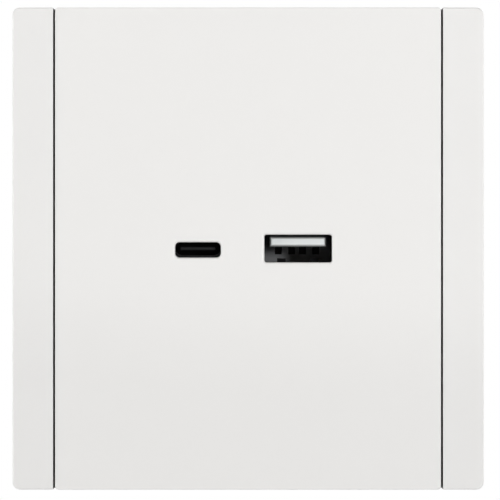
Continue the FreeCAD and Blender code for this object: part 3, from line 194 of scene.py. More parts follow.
# %% [markdown]
# The photograph has a soft, even light, and one thing in it is easy to miss: the tone drops by a few levels a
# little below the middle, as if a lamp's edge fell there. So the key lamp from the front has a spot beside it
# whose soft lower edge falls on the cover. Wide lamps at the sides light the rounded outer edges, a small one
# above lights the upper lips, and one behind shows the back in other views.

# %% Lamps
MIDDLE = (0.0, 0.0, 0.0)
KEY_PLACE = (1.2, -1.8, 0.2)


def lamp_towards(name, kind, place, aim, watts):
    """A lamp that faces the point `aim`, as its data."""
    lamp_data = bpy.data.lights.new(name, kind)
    lamp_data.energy = watts
    lamp = bpy.data.objects.new(name, lamp_data)
    lamp.location = place
    lamp.rotation_euler = (Vector(place) - Vector(aim)).to_track_quat("Z", "Y").to_euler()
    scene.collection.objects.link(lamp)
    return lamp_data


def soft_lamp(name, place, size, watts, aim=MIDDLE):
    """A square soft box."""
    lamp_towards(name, "AREA", place, aim, watts).size = size


def edged_lamp(name, place, aim, cone, blend, size, watts):
    """A round lamp with a cone in degrees, which fades out over the share `blend` of its disc."""
    spot = lamp_towards(name, "SPOT", place, aim, watts)
    spot.shadow_soft_size = size / 2
    spot.spot_size = math.radians(cone)
    spot.spot_blend = blend


soft_lamp("lamp_above", (0.0, -0.26, 0.13), size=0.16, watts=0.02)
soft_lamp("lamp_key", KEY_PLACE, size=0.3, watts=22.5)
soft_lamp("lamp_left", (-1.2, -0.35, 0.0), size=0.7, watts=12.4)
soft_lamp("lamp_right", (1.2, -0.35, 0.0), size=0.7, watts=1.2)
soft_lamp("lamp_behind", (0.5, 0.9, 0.5), size=0.6, watts=3.5, aim=(0.0, 0.02, 0.0))
edged_lamp("lamp_upper", KEY_PLACE, (0.06, 0.0, 0.353), cone=20.2, blend=0.06, size=0.02, watts=12.3)
print("lamps:", len(bpy.data.lights))

# %% A pale floor that fades into the white ground
FLOOR_DROP = -0.12
FLOOR_REACH = 6.0
FLOOR_TONE = (0.9, 0.9, 0.9, 1.0)
FADE_START = 0.05
FADE_END = 0.45

floor_corners = [(x * FLOOR_REACH, y * FLOOR_REACH, 0) for x, y in ((-1, -1), (1, -1), (1, 1), (-1, 1))]
floor_mesh = bpy.data.meshes.new("floor")
floor_mesh.from_pydata(floor_corners, [], [(0, 1, 2, 3)])
floor = bpy.data.objects.new("floor", floor_mesh)
floor.location = (0.0, 0.0, FLOOR_DROP)
scene.collection.objects.link(floor)

floor_finish = bpy.data.materials.new("pale_floor")
floor_finish.use_nodes = True
tree = floor_finish.node_tree
matt = tree.nodes["Principled BSDF"]
feed(tree, matt, Base_Color=FLOOR_TONE, Roughness=0.9)
from_middle = tree.nodes.new("ShaderNodeVectorMath")
from_middle.operation = "LENGTH"
join(tree, on_the_piece(tree), from_middle.inputs[0])
away = ramp(tree, from_middle.outputs["Value"], FADE_START, FADE_END)
away.node.interpolation_type = "SMOOTHSTEP"
fade = mathematics(tree, "MULTIPLY", away, seen_directly(tree))
blend = tree.nodes.new("ShaderNodeMixShader")
join(tree, fade, blend.inputs[0])
join(tree, matt.outputs[0], blend.inputs[1])
join(tree, made(tree, "ShaderNodeEmission", Color=WHITE, Strength=1.0), blend.inputs[2])
join(tree, blend.outputs[0], tree.nodes["Material Output"].inputs["Surface"])
floor_mesh.materials.append(floor_finish)
print("floor, mm below the middle:", -FLOOR_DROP / MM)

# %% [markdown]
# ## Finishes: what several materials share
#
# Almost every material here is either moulded plastic or bare metal. Moulded plastic takes its surface from
# a spark-eroded or blasted tool, so it has a very fine grain and slow, faint changes of gloss. Sheet metal
# shows the rolling direction as long fine lines and carries handling marks. Both effects are shader node
# groups that are built once, so that each material only has to say how strong and how large they are.

# %% Helper: a shader group with named inputs and outputs
def shader_group(name, inputs, outputs):
    """A group, what it is given and its result; inputs maps names to a socket type and a default."""
    group = bpy.data.node_groups.new(name, "ShaderNodeTree")
    for label, (kind, default) in inputs.items():
        socket = group.interface.new_socket(name=label, in_out="INPUT", socket_type=kind)
        socket.default_value = default
    for label, kind in outputs.items():
        group.interface.new_socket(name=label, in_out="OUTPUT", socket_type=kind)
    given = group.nodes.new("NodeGroupInput").outputs
    result = group.nodes.new("NodeGroupOutput").inputs
    return group, given, result


NUMBER = "NodeSocketFloat"
COLOUR = "NodeSocketColor"
VECTOR = "NodeSocketVector"
surface_outputs = {"Colour": COLOUR, "Roughness": NUMBER, "Normal": VECTOR}


def noise(tree, place, scale, detail=2.0, roughness=0.5):
    return made(tree, "ShaderNodeTexNoise", Vector=place, Scale=scale, Detail=detail, Roughness=roughness)


# %% Shader group: moulded plastic
GRAIN_HEIGHT = 0.02 * MM
CLOUDS_PER_METRE = 28.0
plastic_inputs = {
    "Colour": (COLOUR, (0.8, 0.8, 0.8, 1.0)),
    "Gloss change": (NUMBER, 0.04),
    "Roughness": (NUMBER, 0.4),
    "Grain per metre": (NUMBER, 6000.0),
    "Grain depth": (NUMBER, 0.02),
    "Shade change": (NUMBER, 0.01),
}
moulded_plastic, given, result = shader_group("moulded_plastic", plastic_inputs, surface_outputs)
tree = moulded_plastic
place = on_the_piece(tree)
grain = noise(tree, place, given["Grain per metre"], 3.0, 0.6)
bump = made(tree, "ShaderNodeBump", Height=grain, Strength=given["Grain depth"], Distance=GRAIN_HEIGHT)
join(tree, bump, result["Normal"])
swing = mathematics(tree, "SUBTRACT", noise(tree, place, CLOUDS_PER_METRE), 0.5)
gloss = mathematics(tree, "MULTIPLY", swing, given["Gloss change"])
join(tree, mathematics(tree, "ADD", gloss, given["Roughness"]), result["Roughness"])
bright = mathematics(tree, "ADD", mathematics(tree, "MULTIPLY", swing, given["Shade change"]), 1.0)
shade = made(tree, "ShaderNodeHueSaturation", Color=given["Colour"], Value=bright)
join(tree, shade, result["Colour"])
print("group:", tree.name, len(tree.nodes), "nodes")

# %% [markdown]
# Metal needs a direction. Stretching the noise along one axis makes the long fine lines of rolled or drawn
# sheet. A cell pattern gives each patch its own gloss and shade, as handling marks and the crystals of a zinc
# coat do.

# %% Shader group: worked metal
LINE_HEIGHT = 0.01 * MM
STREAK_GLOSS = 0.05
SPANGLE_SHADE = 0.6
metal_inputs = {
    "Colour": (COLOUR, (0.6, 0.6, 0.6, 1.0)),
    "Roughness": (NUMBER, 0.3),
    "Lines": (VECTOR, (400.0, 9000.0, 9000.0)),
    "Line depth": (NUMBER, 0.05),
    "Spangle": (NUMBER, 0.1),
    "Spangle per metre": (NUMBER, 500.0),
}
worked_metal, given, result = shader_group("worked_metal", metal_inputs, surface_outputs)
tree = worked_metal
place = on_the_piece(tree)
stretch = tree.nodes.new("ShaderNodeVectorMath")
stretch.operation = "MULTIPLY"
join(tree, place, stretch.inputs[0])
join(tree, given["Lines"], stretch.inputs[1])
lines = noise(tree, stretch.outputs[0], 1.0, 3.0, 0.6)
bump = made(tree, "ShaderNodeBump", Height=lines, Strength=given["Line depth"], Distance=LINE_HEIGHT)
join(tree, bump, result["Normal"])
crystals = made(tree, "ShaderNodeTexVoronoi", Vector=place, Scale=given["Spangle per metre"]).node
patch = made(tree, "ShaderNodeSeparateColor", Color=crystals.outputs["Color"])
swing = mathematics(tree, "SUBTRACT", patch, 0.5)
swing = mathematics(tree, "MULTIPLY", swing, given["Spangle"])
rough = mathematics(tree, "ADD", given["Roughness"], swing)
streak = scaled(tree, lines, -STREAK_GLOSS, STREAK_GLOSS)
join(tree, mathematics(tree, "ADD", rough, streak), result["Roughness"])
bright = mathematics(tree, "ADD", mathematics(tree, "MULTIPLY", swing, SPANGLE_SHADE), 1.0)
shade = made(tree, "ShaderNodeHueSaturation", Color=given["Colour"], Value=bright)
join(tree, shade, result["Colour"])
print("group:", tree.name, len(tree.nodes), "nodes")

# %% [markdown]
# ## One finish for each material of the real socket
#
# The cover is pale, slightly warm plastic moulded in a fine satin tool: under soft light it reads as a flat
# tone, and only a low, broad sheen tells it from paper. The insert behind is a rougher, matt grade. The port
# shells are steel painted near black without shine, as painted shade that keeps the ports black inside. The
# support ring is duller zinc with faint crystals, and the springs are plain steel.

# %% Helpers: a plastic finish and a metal finish
def new_finish(name):
    finish = bpy.data.materials.new(name)
    finish.use_nodes = True
    tree = finish.node_tree
    return finish, tree, tree.nodes["Principled BSDF"]


def place_group(tree, group, **values):
    """A shader group in a finish's tree, with its inputs filled by their names."""
    node = tree.nodes.new("ShaderNodeGroup")
    node.node_tree = group
    return feed(tree, node, **values)


def wire_up(tree, node, shader):
    join(tree, node.outputs["Colour"], shader.inputs["Base Color"])
    join(tree, node.outputs["Roughness"], shader.inputs["Roughness"])
    join(tree, node.outputs["Normal"], shader.inputs["Normal"])


def plastic(
    name, colour, roughness, grain_depth,
    grain_per_metre=6000.0, shade_change=0.01, gloss_change=0.05, shine=0.5,
):
    finish, tree, shader = new_finish(name)
    node = place_group(
        tree, moulded_plastic,
        Colour=(*colour, 1.0), Roughness=roughness, Grain_depth=grain_depth, Grain_per_metre=grain_per_metre,
        Shade_change=shade_change, Gloss_change=gloss_change,
    )
    wire_up(tree, node, shader)
    shader.inputs["Specular IOR Level"].default_value = shine
    return finish


def metal(
    name, colour, roughness, lines,
    line_depth=0.05, spangle=0.05, spangle_per_metre=500.0, metallic=1.0, shine=0.5,
):
    finish, tree, shader = new_finish(name)
    node = place_group(
        tree, worked_metal,
        Colour=(*colour, 1.0), Roughness=roughness, Lines=lines, Line_depth=line_depth, Spangle=spangle,
        Spangle_per_metre=spangle_per_metre,
    )
    wire_up(tree, node, shader)
    shader.inputs["Metallic"].default_value = metallic
    shader.inputs["Specular IOR Level"].default_value = shine
    return finish


# %% The plastics
COVER_WHITE = (0.832, 0.823, 0.807)
# The frame's white is the cover's made a shade darker: painted shade that makes the strips read a little
# darker than the plate.
FRAME_WHITE_SHADE_DARKER = (0.818, 0.81, 0.796)
finishes = {
    "white_cover": plastic("satin_white_cover", COVER_WHITE, 0.42, 0.05, 5200.0),
    "frame_white": plastic("satin_white_frame", FRAME_WHITE_SHADE_DARKER, 0.44, 0.05, 5200.0),
    "housing_plastic": plastic("matt_housing", (0.62, 0.62, 0.61), 0.62, 0.35, 3200.0, 0.03, 0.1),
    "white_insulator": plastic("white_port_tongue", (0.71, 0.735, 0.73), 0.4, 0.08),
    "black_insulator": plastic("black_port_plastic", (0.012, 0.012, 0.013), 0.42, 0.1, shine=0.12),
    "terminal_plastic": plastic("grey_terminal", (0.24, 0.25, 0.26), 0.5, 0.2, 4200.0, 0.03),
    "button_plastic": plastic("orange_release", (0.72, 0.20, 0.03), 0.4, 0.12, 4200.0, 0.03),
    "chip_epoxy": plastic("black_epoxy", (0.018, 0.018, 0.02), 0.6, 0.4, 9000.0, 0.1),
    "film_box": plastic("yellow_capacitor_box", (0.62, 0.42, 0.05), 0.35, 0.08),
    "fuse_body": plastic("coated_resistor", (0.09, 0.24, 0.19), 0.5, 0.3, 7000.0, 0.06),
}
print("plastics:", len(finishes))

# %% [markdown]
# The lines of a metal run along the way it was rolled, drawn or stamped, so each metal names its axis. The
# port shells are painted near black and given no metal shine, as painted shade for the dark inside the ports.

# %% The metals
ALONG_X = (500.0, 9000.0, 9000.0)
ALONG_Y = (9000.0, 500.0, 9000.0)
ALONG_Z = (9000.0, 9000.0, 500.0)
EVERY_WAY = (9000.0, 9000.0, 9000.0)
# The port shells' near-black tone is painted shade.
SHELL_PAINTED_DARK = (0.014, 0.014, 0.015)
finishes.update({
    "ring_steel": metal("zinc_support_ring", (0.56, 0.57, 0.58), 0.38, ALONG_X, 0.08, 0.22, 420.0),
    "screw_steel": metal("bright_screws", (0.62, 0.63, 0.64), 0.28, EVERY_WAY, 0.05, 0.1, 1500.0),
    "shell_steel": metal("port_shell_painted_dark", SHELL_PAINTED_DARK, 0.5, ALONG_Y, 0.05, 0.04, 900.0, 0.0, 0.08),
    "contact_metal": metal("gold_contacts", (0.83, 0.58, 0.22), 0.22, ALONG_Y, 0.04, 0.03, 900.0),
    "busbar_brass": metal("stamped_brass", (0.72, 0.50, 0.20), 0.3, ALONG_Z, 0.08, 0.08, 700.0),
    "spring_steel": metal("clamp_steel", (0.50, 0.50, 0.49), 0.25, ALONG_X, 0.06, 0.04, 900.0),
})
print("finishes so far:", len(finishes))

# %% [markdown]
# ## Finishes of their own
#
# Some surfaces on the power supply have a pattern that neither group gives. A printed board shows copper
# tracks as slightly raised, lighter lanes under its green lacquer. A capacitor sleeve shows fine paler rings
# where it has shrunk on. Ferrite is fired powder, dull and speckled. Tape on the transformer shows each lap
# as a fine step. All of them are worked out from the place on the piece.

# %% Printed board: tracks under green lacquer
TRACKS_PER_METRE = 330.0
TRACK_HEIGHT = 0.035 * MM
LACQUER = (0.012, 0.085, 0.035, 1.0)
LACQUER_ON_TRACK = (0.03, 0.17, 0.075, 1.0)


def board_finish():
    """The distance in a cell pattern, folded back on itself, gives lanes along the cells' edges."""
    finish, tree, shader = new_finish("green_board")
    cells = made(
        tree, "ShaderNodeTexVoronoi", Vector=on_the_piece(tree), Scale=TRACKS_PER_METRE, Randomness=0.35
    ).node
    cells.distance = "MANHATTAN"
    folded = mathematics(tree, "PINGPONG", cells.outputs["Distance"], 0.22)
    track = ramp(tree, folded, 0.09, 0.12)
    node = place_group(
        tree, moulded_plastic,
        Colour=mixed(tree, track, LACQUER, LACQUER_ON_TRACK), Roughness=0.3, Grain_depth=0.1,
        Grain_per_metre=4000.0, Shade_change=0.05,
    )
    wire_up(tree, node, shader)
    under = node.outputs["Normal"]
    lanes = made(tree, "ShaderNodeBump", Height=track, Strength=0.6, Distance=TRACK_HEIGHT, Normal=under)
    join(tree, lanes, shader.inputs["Normal"])
    return finish


finishes["board_laminate"] = board_finish()
print("board finish ready")

# %% Ferrite, transformer tape and capacitor sleeves
def speckled(name, dark, light, roughness, per_metre):
    finish, tree, shader = new_finish(name)
    powder = noise(tree, on_the_piece(tree), per_metre, 4.0, 0.7)
    node = place_group(
        tree, moulded_plastic,
        Colour=mixed(tree, powder, (*dark, 1.0), (*light, 1.0)), Roughness=roughness, Grain_depth=0.5,
        Grain_per_metre=per_metre,
    )
    wire_up(tree, node, shader)
    return finish


def banded(name, colour, stripe, axis, per_metre, depth, share):
    """Laps across one axis; each has a stripe over a share of its width and rises by a depth."""
    finish, tree, shader = new_finish(name)
    laps = mathematics(tree, "MULTIPLY", on_each_axis(tree)[axis], per_metre)
    saw = mathematics(tree, "FRACT", laps)
    line = mathematics(tree, "LESS_THAN", saw, share)
    node = place_group(
        tree, moulded_plastic,
        Colour=mixed(tree, line, (*colour, 1.0), (*stripe, 1.0)), Roughness=0.3, Grain_depth=0.1,
        Shade_change=0.06,
    )
    wire_up(tree, node, shader)
    under = node.outputs["Normal"]
    step = made(tree, "ShaderNodeBump", Height=saw, Strength=0.5, Distance=depth, Normal=under)
    join(tree, step, shader.inputs["Normal"])
    return finish


finishes["ferrite"] = speckled("fired_ferrite", (0.02, 0.02, 0.021), (0.07, 0.07, 0.072), 0.7, 5000.0)
finishes["winding_tape"] = banded(
    "transformer_tape", (0.74, 0.56, 0.06), (0.66, 0.48, 0.04), "Z",
    per_metre=1250.0, depth=0.05 * MM, share=0.12,
)
finishes["choke_wire"] = banded(
    "choke_lacquer", (0.32, 0.10, 0.03), (0.22, 0.06, 0.02), "Y",
    per_metre=2200.0, depth=0.05 * MM, share=0.2,
)
finishes["capacitor_can"] = banded(
    "capacitor_sleeve", (0.018, 0.022, 0.035), (0.03, 0.035, 0.05), "Y",
    per_metre=700.0, depth=0.01 * MM, share=0.06,
)
print("finishes:", len(finishes))

# %% [markdown]
# ## Where light doesn't reach
#
# A few places have shade painted into their colour. The sides of the two gaps are painted grey, as painted
# shade that makes them read as dark lines from the room. The wall at the end of the larger port is dark
# plastic, and its four pockets are painted black as painted shade. The white tongue in front of it is painted
# greyer towards its rim, as painted shade where the dark shell is close, and the thin tongue in the smaller
# port is painted black behind its front edge, so that only that edge looks lit. All are masks worked out from
# the place on the piece.

# %% Helper: another tone mixed into a finish
def mix_tone(finish, share, tone):
    """Mixes another tone into the finish's colour by a share from its own tree."""
    tree = finish.node_tree
    colour = tree.nodes["Principled BSDF"].inputs["Base Color"]
    join(tree, mixed(tree, share, colour.links[0].from_socket, (*tone, 1.0)), colour)


# %% Painted shade in the sides of the two gaps
PLATE_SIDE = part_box("centre_plate")[1][0]
GAP = 0.3 * MM
GAP_MARGIN = 0.045 * MM
LIP_DEPTH = 0.04 * MM
# The grey painted into the sides of the gaps is painted shade.
GAP_PAINTED_SHADE = (0.12, 0.118, 0.115)


def paint_shade_in_the_gaps(finish):
    """Paints shade into a white plastic: grey between plate and strips, from just below their front faces."""
    tree = finish.node_tree
    place = on_each_axis(tree)
    across = mathematics(tree, "ABSOLUTE", place["X"])
    off_middle = mathematics(tree, "ABSOLUTE", mathematics(tree, "SUBTRACT", across, PLATE_SIDE + GAP / 2))
    between = mathematics(tree, "LESS_THAN", off_middle, GAP / 2 + GAP_MARGIN)
    below = mathematics(tree, "GREATER_THAN", place["Y"], FRONT + LIP_DEPTH)
    mix_tone(finish, mathematics(tree, "MULTIPLY", between, below), GAP_PAINTED_SHADE)


for name in ("white_cover", "frame_white"):
    paint_shade_in_the_gaps(finishes[name])
print("gap, mm:", GAP / MM)

# %% Painted shade inside the ports
def paint_shade_behind(finish, start, end, tone):
    """Paints shade into a finish: it turns into another tone from the depth `start` to the depth `end`."""
    tree = finish.node_tree
    mix_tone(finish, ramp(tree, on_each_axis(tree)["Y"], start, end), tone)


def paint_shade_at_rim(finish, low, high, width, tone):
    """Paints shade into a finish: it turns into another tone towards the outline that a box has from the
    front.
    """
    tree = finish.node_tree
    place = on_each_axis(tree)
    insets = []
    for axis, index in (("X", 0), ("Z", 2)):
        from_middle = mathematics(tree, "SUBTRACT", place[axis], (low[index] + high[index]) / 2)
        off_middle = mathematics(tree, "ABSOLUTE", from_middle)
        insets.append(mathematics(tree, "SUBTRACT", (high[index] - low[index]) / 2, off_middle))
    mix_tone(finish, ramp(tree, mathematics(tree, "MINIMUM", *insets), width, 0.0), tone)


# The tones below are painted shade for the deep and shaded parts inside the ports.
PAINTED_SHADE_BLACK = (0.002, 0.002, 0.002)
PAINTED_RIM_SHADE = (0.06, 0.062, 0.061)
TONGUE_RIM = 0.52 * MM

wall_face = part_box("usb_a_back_wall")[0][1]
wall = plastic("port_back_wall_painted_pockets", (0.165, 0.168, 0.172), 0.5, 0.1, shade_change=0.03, shine=0.1)
# The pockets behind the wall's face are painted black: painted shade.
paint_shade_behind(wall, wall_face + 0.05 * MM, wall_face + 0.06 * MM, PAINTED_SHADE_BLACK)

white_tongue = plastic("port_tongue_painted_rim_shade", (0.76, 0.785, 0.78), 0.4, 0.08)
# The tongue is painted greyer towards its rim: painted shade.
paint_shade_at_rim(white_tongue, *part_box("usb_a_insulator"), TONGUE_RIM, PAINTED_RIM_SHADE)

edge_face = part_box("usb_c_insulator")[0][1]
black_tongue = plastic("black_port_tongue_painted_shade", (0.021, 0.021, 0.022), 0.42, 0.1, shine=0.05)
# Behind its front edge the tongue is painted black: painted shade that leaves only the edge looking lit.
paint_shade_behind(black_tongue, edge_face + 0.05 * MM, edge_face + 0.25 * MM, PAINTED_SHADE_BLACK)
print("port finishes:", wall.name, white_tongue.name, black_tongue.name)

# %% [markdown]
# ## Dressing the CAD solids
#
# Each solid of the frame already has the right shape, and the record says which material slot it belongs to.
# So dressing is one loop: look up the slot, and put the finish in the place of the plain colour. Four solids
# have a finish of their own.

# %% Give every CAD solid the finish of its slot
slot_of = {entry["node"]: entry["material_slot"] for entry in frame["record"]["subparts"]}
finish_of = {name: finishes[slot] for name, slot in slot_of.items()}
finish_of["usb_a_back_wall"] = wall
finish_of["usb_a_insulator"] = white_tongue
finish_of["usb_c_insulator"] = black_tongue
finish_of["cover_frame"] = finishes["frame_white"]
for name, solid in nodes.items():
    solid.data.materials.clear()
    solid.data.materials.append(finish_of[name])
print("dressed:", len(nodes), "solids in", len(set(finish_of.values())), "finishes")

# %% [markdown]
# ## Growing what repeats
#
# Screws, wire turns, solder joints and small chips come in sets: one shape at many places. Each could be
# copied by a loop in Python, but a Geometry Nodes tree keeps the sizes as named inputs that can be changed
# afterwards in the modifier panel. A tree is run on a carrier mesh whose points are the places, and its
# result is kept as a plain mesh, so that nothing live is left on the finished piece.

# %% Helper: a geometry tree with named inputs
LENGTH = "NodeSocketFloat"
COUNT = "NodeSocketInt"
MATERIAL = "NodeSocketMaterial"


def geometry_tree(name, inputs):
    """A tree that takes places as a mesh, what else it is given and its result."""
    tree = bpy.data.node_groups.new(name, "GeometryNodeTree")
    tree.interface.new_socket(name="Places", in_out="INPUT", socket_type="NodeSocketGeometry")
    for label, (kind, default) in inputs.items():
        socket = tree.interface.new_socket(name=label, in_out="INPUT", socket_type=kind)
        if default is not None:
            socket.default_value = default
    tree.interface.new_socket(name="Geometry", in_out="OUTPUT", socket_type="NodeSocketGeometry")
    given = tree.nodes.new("NodeGroupInput").outputs
    result = tree.nodes.new("NodeGroupOutput").inputs
    return tree, given, result


def along_z(tree, height):
    """A vector that points up by a height which may be an output."""
    return made(tree, "ShaderNodeCombineXYZ", Z=height)


def moved(tree, shape, **change):
    return made(tree, "GeometryNodeTransform", Geometry=shape, **change)


def joined(tree, *shapes):
    node = tree.nodes.new("GeometryNodeJoinGeometry")
    for shape in shapes:
        join(tree, shape, node.inputs[0])
    return node.outputs[0]


def at_places(tree, given, shape, turn=(0.0, 0.0, 0.0)):
    """The shape at every given place, turned by angles round X, Y and Z."""
    places = given["Places"]
    return made(tree, "GeometryNodeInstanceOnPoints", Points=places, Instance=shape, Rotation=turn)


def finish_tree(tree, shape, given, result):
    """Ends a tree: real geometry instead of instances, with the given material."""
    real = made(tree, "GeometryNodeRealizeInstances", Geometry=shape)
    dressed = made(tree, "GeometryNodeSetMaterial", Geometry=real, Material=given["Finish"])
    join(tree, dressed, result[0])
    print("tree:", tree.name, len(tree.nodes), "nodes")


# %% Helper: running a tree
def grow(name, tree, places, values):
    """Runs a tree on a carrier mesh made of places and keeps the outcome as a plain mesh."""
    carrier_mesh = bpy.data.meshes.new(f"{name}_places")
    carrier_mesh.from_pydata(places, [], [])
    carrier = bpy.data.objects.new(f"{name}_carrier", carrier_mesh)
    scene.collection.objects.link(carrier)
    modifier = carrier.modifiers.new("grow", "NODES")
    modifier.node_group = tree
    for socket in tree.interface.items_tree:
        if socket.in_out == "INPUT" and socket.name in values:
            modifier[socket.identifier] = values[socket.name]
    graph = bpy.context.evaluated_depsgraph_get()
    mesh = bpy.data.meshes.new_from_object(carrier.evaluated_get(graph), depsgraph=graph)
    mesh.name = name
    mesh.materials.clear()
    mesh.materials.append(values["Finish"])
    mesh.polygons.foreach_set("material_index", [0] * len(mesh.polygons))
    bpy.data.objects.remove(carrier)
    piece = bpy.data.objects.new(name, mesh)
    scene.collection.objects.link(piece)
    print(name, "has", len(mesh.polygons), "faces")
    return piece


# %% [markdown]
# ## Screws
#
# Three sets of pan head screws hold the socket together. A real one has a low domed head with a tapered
# cross recess and a rolled thread. The head is a surface of revolution: a grid is bent round an axis, and two
# curves say how far out and how high each of its rows lies. The recess is cut by two crossed wedges. The
# thread is a diamond section swept along a spiral round a thinner core. Each screw stops at its own angle, as
# driven screws do.

# %% The screw's tree: its head
screw_inputs = {
    "Thread radius": (LENGTH, 1.25 * MM),
    "Head radius": (LENGTH, 2.2 * MM),
    "Head height": (LENGTH, 1.3 * MM),
    "Length": (LENGTH, 4.6 * MM),
    "Turns": (LENGTH, 5.0),
    "Points away": (LENGTH, 0.0),
    "Seed": (COUNT, 7),
    "Finish": (MATERIAL, None),
}
screw_tree, given, result = geometry_tree("pan_head_screw", screw_inputs)
tree = screw_tree
head_radius = given["Head radius"]
head_height = given["Head height"]
HEAD_ROWS = 12
HEAD_SIDES = 40

grid = made(
    tree,
    "GeometryNodeMeshGrid",
    Size_X=1.0, Size_Y=1.0, Vertices_X=HEAD_ROWS, Vertices_Y=HEAD_SIDES + 1,
)
spot = made(tree, "ShaderNodeSeparateXYZ", Vector=made(tree, "GeometryNodeInputPosition")).node.outputs
row = mathematics(tree, "ADD", spot["X"], 0.5)
angle = mathematics(tree, "MULTIPLY", spot["Y"], 2 * math.pi)


def row_curve(points):
    """A curve with straight runs from a grid row's share to a share of the head's size."""
    node = made(tree, "ShaderNodeFloatCurve", Value=row).node
    curve = node.mapping.curves[0]
    curve.points[0].location = points[0]
    curve.points[1].location = points[-1]
    for point in points[1:-1]:
        curve.points.new(*point)
    for point in curve.points:
        point.handle_type = "VECTOR"
    node.mapping.update()
    return node.outputs["Value"]


rows = [step / (HEAD_ROWS - 1) for step in range(HEAD_ROWS)]
outwards = [0.0, 0.55, 0.97, 1.0, 1.0, 0.985, 0.94, 0.86, 0.74, 0.52, 0.26, 0.0]
upwards = [0.0, 0.0, 0.0, 0.05, 0.42, 0.60, 0.74, 0.85, 0.93, 0.98, 1.0, 1.0]
radius = mathematics(tree, "MULTIPLY", row_curve(list(zip(rows, outwards))), head_radius)
height = mathematics(tree, "MULTIPLY", row_curve(list(zip(rows, upwards))), head_height)
bent = made(
    tree,
    "ShaderNodeCombineXYZ",
    X=mathematics(tree, "MULTIPLY", radius, mathematics(tree, "COSINE", angle)),
    Y=mathematics(tree, "MULTIPLY", radius, mathematics(tree, "SINE", angle)),
    Z=height,
)
head = made(tree, "GeometryNodeSetPosition", Geometry=grid, Position=bent)
head = made(tree, "GeometryNodeMergeByDistance", Geometry=head, Distance=0.002 * MM)
print("head rows:", HEAD_ROWS)

# %% The cross recess
RECESS_REACH = 0.56
RECESS_WIDTH = 0.15
RECESS_DEPTH = 0.75
RECESS_LIFT = 0.35

recess = tree.nodes.new("GeometryNodeMeshBoolean")
recess.operation = "DIFFERENCE"
recess.solver = "EXACT"
join(tree, head, recess.inputs["Mesh 1"])
far = mathematics(tree, "MULTIPLY", head_radius, RECESS_REACH)
thin = mathematics(tree, "MULTIPLY", head_radius, RECESS_WIDTH)
deep = mathematics(tree, "MULTIPLY", head_height, RECESS_DEPTH)
lift = along_z(tree, mathematics(tree, "MULTIPLY", head_height, RECESS_LIFT))
for across, up in ((far, thin), (thin, far)):
    wedge = made(tree, "GeometryNodeMeshCone", Vertices=4, Radius_Top=1.3, Radius_Bottom=0.7, Depth=1.0)
    wedge = moved(tree, wedge, Rotation=(0.0, 0.0, math.pi / 4))
    form = made(tree, "ShaderNodeCombineXYZ", X=across, Y=up, Z=deep)
    join(tree, moved(tree, wedge, Scale=form, Translation=lift), recess.inputs["Mesh 2"])
head = recess.outputs["Mesh"]
print("recess width, share of the head:", RECESS_WIDTH)

# %% The thread, and the screw at its places
THREAD_DEPTH = 0.17
THREAD_SHARE = 0.96

core_radius = mathematics(tree, "MULTIPLY", given["Thread radius"], 1.0 - THREAD_DEPTH)
rib_radius = mathematics(tree, "MULTIPLY", given["Thread radius"], THREAD_DEPTH)
core = made(tree, "GeometryNodeMeshCylinder", Vertices=24, Radius=core_radius, Depth=given["Length"])
half = mathematics(tree, "MULTIPLY", given["Length"], -0.5)
core = moved(tree, core, Translation=along_z(tree, half))
spiral = made(
    tree,
    "GeometryNodeCurveSpiral",
    Resolution=24, Rotations=given["Turns"], Start_Radius=core_radius, End_Radius=core_radius,
    Height=mathematics(tree, "MULTIPLY", given["Length"], -THREAD_SHARE),
)
section = made(tree, "GeometryNodeCurvePrimitiveCircle", Resolution=4, Radius=rib_radius)
thread = made(tree, "GeometryNodeCurveToMesh", Curve=spiral, Profile_Curve=section, Fill_Caps=True)

turned_over = given["Points away"]
tilt = scaled(tree, turned_over, math.pi / 2, -math.pi / 2)
lean = made(tree, "ShaderNodeCombineXYZ", X=tilt)
screws = at_places(tree, given, joined(tree, head, core, thread), lean)
twist = tree.nodes.new("FunctionNodeRandomValue")
twist.data_type = "FLOAT_VECTOR"
feed(tree, twist, Min=(0.0, 0.0, 0.0), Max=(0.0, 0.0, math.pi), Seed=given["Seed"])
own_turn = twist.outputs["Value"]
screws = made(tree, "GeometryNodeRotateInstances", Instances=screws, Rotation=own_turn, Local_Space=True)
finish_tree(tree, screws, given, result)

# %% [markdown]
# The CAD screws that these stand for say where they sit. Their common box ends at the heads' outer sides, at
# the heads' tops and at the tips. Facets on the round heads make it a few micrometres too small, so its sides
# are rounded to a tenth of a millimetre.

# %% Screws at the ring, the case and the port board
HEAD_HEIGHT = 1.3


def screw_set(name, replaced, away, thread_radius, head_radius, turns, seed):
    """Four screws with sizes in millimetres; away is 1 if their tips point to the room."""
    low, high = [[round(value / MM, 1) for value in corner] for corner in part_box(replaced)]
    seat = high[1] - HEAD_HEIGHT if away else low[1] + HEAD_HEIGHT
    length = high[1] - low[1] - HEAD_HEIGHT
    across, up = high[0] - head_radius, high[2] - head_radius
    points = [(x * across * MM, seat * MM, z * up * MM) for x in (-1, 1) for z in (-1, 1)]
    values = {
        "Thread radius": thread_radius * MM,
        "Head radius": head_radius * MM,
        "Head height": HEAD_HEIGHT * MM,
        "Length": length * MM,
        "Turns": turns,
        "Points away": away,
        "Seed": seed,
        "Finish": finishes["screw_steel"],
    }
    piece = grow(name, screw_tree, points, values)
    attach(piece, "socket")
    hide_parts(replaced)


screw_set("ring_pan_screws", "ring_screws", away=0.0, thread_radius=1.25, head_radius=2.2, turns=5.0, seed=3)
screw_set("case_pan_screws", "case_screws", away=1.0, thread_radius=1.1, head_radius=1.9, turns=26.0, seed=5)
screw_set("board_pan_screws", "board_screws", away=1.0, thread_radius=0.9, head_radius=1.6, turns=6.0, seed=8)

# %% [markdown]
# ## Wire on the mains choke
#
# The choke is a spool of ferrite with one close layer of lacquered copper wire. A wire wound on a spool is a
# helix, so a round section is swept along a spiral. Drawing it as wire, and not as stripes in a material,
# gives the row of small highlights that copper turns show.

